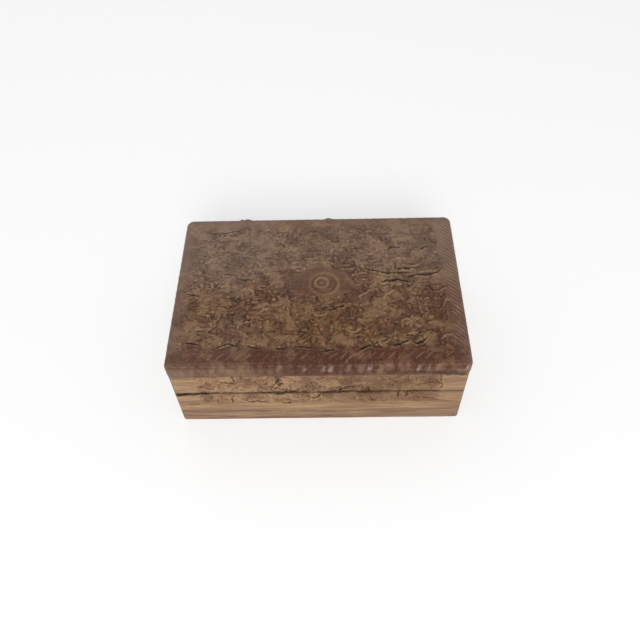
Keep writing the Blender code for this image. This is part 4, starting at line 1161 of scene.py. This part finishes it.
def make_top_board(material):
    """The board as a grid draped over its rounded edge, with its relief and its rows of cuts and flutes."""
    low, high = (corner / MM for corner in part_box("lid_top_board"))
    core_x, core_y = high.x - TOP_CORNER, high.y - TOP_CORNER
    drop = high.z - TOP_EDGE_ROUND - low.z + TOP_LAP
    over = TOP_FLAT + TOP_EDGE_ROUND * math.pi / 2

    def lines(core):
        fine = np.linspace(0, core + over, round((core + over) / TOP_STEP) + 1)
        side_lines = core + over + drop * np.arange(1, TOP_SIDE_STEPS + 1) / TOP_SIDE_STEPS
        half_lines = np.concatenate([fine, side_lines])
        return np.concatenate([-half_lines[:0:-1], half_lines])

    grid_x, grid_y = np.meshgrid(lines(core_x), lines(core_y))
    past_x, past_y = np.clip(np.abs(grid_x) - core_x, 0, None), np.clip(np.abs(grid_y) - core_y, 0, None)
    beyond = np.maximum(past_x, past_y)
    with np.errstate(divide="ignore", invalid="ignore"):
        turn = np.nan_to_num(np.where(past_x >= past_y, math.pi / 4 * past_y / past_x,
                                      math.pi / 2 - math.pi / 4 * past_x / past_y))
    lean = np.clip((beyond - TOP_FLAT) / TOP_EDGE_ROUND, 0, math.pi / 2)
    out = np.minimum(beyond, TOP_FLAT) + TOP_EDGE_ROUND * np.sin(lean)
    side_x, side_y = np.sign(grid_x), np.sign(grid_y)
    x = np.where(past_x > 0, side_x * (core_x + out * np.cos(turn)), grid_x)
    y = np.where(past_y > 0, side_y * (core_y + out * np.sin(turn)), grid_y)
    z = high.z - TOP_EDGE_ROUND * (1 - np.cos(lean)) - np.clip(beyond - over, 0, None)
    relief = blank_relief(x)
    carved = field_relief(relief, grid_x, grid_y)
    oval = oval_and_rosette(relief, grid_x, grid_y)
    relief["height"] += 0.08 * random_lumps(grid_x, grid_y, 4, 90, 3) * (1 - carved)
    add_wear(relief)
    relief["ridge"] *= 0.25 + 0.75 * carved
    relief["hollow"] *= 0.4 + 0.6 * carved
    relief["carved"] = (0.55 + 0.45 * carved) * (1 - 0.6 * oval)
    rope_and_flute_places(relief, grid_x, grid_y, high.x, high.y, beyond)
    top_tones(relief, grid_x, grid_y, carved, oval, beyond)
    foot = np.clip((over + drop - beyond) / 1.5, 0, 1)
    for key in relief:
        if key not in ("run", "inward"):
            relief[key] = relief[key] * foot ** (1 if key in ("height", "edge") else 0.2)
    lift = relief.pop("height")
    x = x + lift * side_x * np.sin(lean) * np.where(past_x > 0, np.cos(turn), 0)
    y = y + lift * side_y * np.sin(lean) * np.where(past_y > 0, np.sin(turn), 0)
    z = z + lift * np.cos(lean)
    index = np.arange(z.size).reshape(z.shape)
    rim = [*index[0, :-1], *index[:-1, -1], *index[-1, :0:-1], *index[:0:-1, 0]]
    faces = quads_between(index) + [[int(k) for k in rim]]
    board = relief_piece("carved_top_board", (x, y, z), faces, relief)
    rows_tree = gouge_row_tree()
    through_tree(board, rows_tree, Material=material, Where="border", Mark="stroke", Pitch=STROKE_PITCH,
                 Lean=0.55, Bend=0.02, Width=0.6, Depth=CUT_DEPTH, Wander=2.4, Seed=3.0)
    through_tree(board, rows_tree, Material=material, Where="ends", Mark="groove", Pitch=GROOVE_PITCH,
                 Lean=1.0, Bend=0.0, Width=0.7, Depth=CUT_DEPTH, Wander=1.6, Seed=5.0)
    through_tree(board, rows_tree, Material=material, Where="edge", Mark="flute", Pitch=FLUTE_PITCH,
                 Lean=0.0, Bend=0.0, Width=1.1, Depth=FLUTE_DEPTH, Wander=2.4, Seed=7.0)
    board.data.set_sharp_from_angle(angle=SHARP_TURN)
    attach(board, "lid")
    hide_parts("lid_top_board")


def dark_board_material():
    """Dark heartwood, dusty at the back with a painted sheen, golden and reddish towards the front, with pale
    rubbed ridges and painted highlights.
    """
    material, tree = new_material("worn dark heartwood")
    place = object_space(tree)

    def share(key, amount=1.0):
        return mark(tree, key) * amount

    grain = add_group(tree, WOOD_GRAIN, Vector=place, Early=colour(108, 77, 58), Late=colour(86, 58, 45),
                      Band_Size=120.0, Pores=0.35)
    wood = layered(
        tree, grain["Colour"],
        # dust with a painted sheen over it
        (share("dust_and_sheen", 0.32), DUST_AND_SHEEN_TONE),
        (share("gold", 0.55), colour(112, 82, 52)),
        (share("red", 0.9), colour(72, 35, 24)),
    )
    rubbed = layered(tree, colour(158, 131, 100), (share("gold"), colour(156, 126, 88)))
    wear_and_shade = add_group(tree, CARVED_WEAR_AND_SHADE, Wood=wood, Vector=place, Dirt=colour(66, 43, 34), Rubbed=rubbed,
                     Warm=colour(114, 70, 51), Cool=colour(106, 86, 62))
    between_grooves = share("ends").math("SUBTRACT", share("groove", 1.3), clamp=True)
    tone = layered(
        tree, wear_and_shade["Colour"],
        # dust with a painted sheen over it, once more over the wear
        (share("dust_and_sheen", 0.3), DUST_AND_SHEEN_TONE),
        (share("pale", 0.55), colour(160, 132, 100)),
        (share("ring", 0.6), colour(146, 116, 80)),
        # worn bare wood, with painted tan highlights and a painted highlight line on the front edge
        (share("bare", 0.65), colour(124, 97, 74)),
        (share("flute", 0.6), colour(62, 36, 30)),
        # a painted highlight: the pale lit edge of each rope cut on the front border
        (share("stroke", 0.7), colour(144, 106, 82)),
        (between_grooves * 0.4, colour(150, 122, 104)),
        (share("groove", 0.5), colour(70, 44, 36)),
        # painted highlights: whitish glints on the flutes of the front edge
        (share("painted_glint", 0.42), colour(186, 166, 154)),
    )
    shine = mark(tree, "polish").ranged(0.0, 1.0, 0.62, 0.36)
    roughness = shine.math("ADD", wear_and_shade["Grime"] * 0.2, clamp=True)
    finish_wood(tree, tone, [(grain["Height"], FINE_BUMP), (wear_and_shade["Height"], DARK_WEAR_BUMP)], roughness,
                share("polish", 0.05), DARK_WOOD_SHEEN)
    return material


make_top_board(dark_board_material())


# Hinges: pressed brass butt hinges let into the back rims, gone brown, on steel pins. The leaves keep the CAD
# shape with softened edges. Each leaf is held by two slotted brass screws, countersunk flush.
LEAF_EDGE_SOFTNESS = 0.00012

for name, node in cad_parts.items():
    if "_hinge_" in name and "screw" not in name:
        set_material(node, STEEL if name.endswith("_pin") else BRASS)
        soft = node.modifiers.new("soft edges", "BEVEL")
        soft.width = LEAF_EDGE_SOFTNESS
        soft.segments = 2
        soft.limit_method = "ANGLE"
for body in ("base", "lid"):
    screws = [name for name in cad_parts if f"hinge_{body}_screw" in name]
    fixings(f"{body}_hinge_screws", screws, body == "base", body, "brass", Material=BRASS,
            Length=0.0094, Seed=len(body))
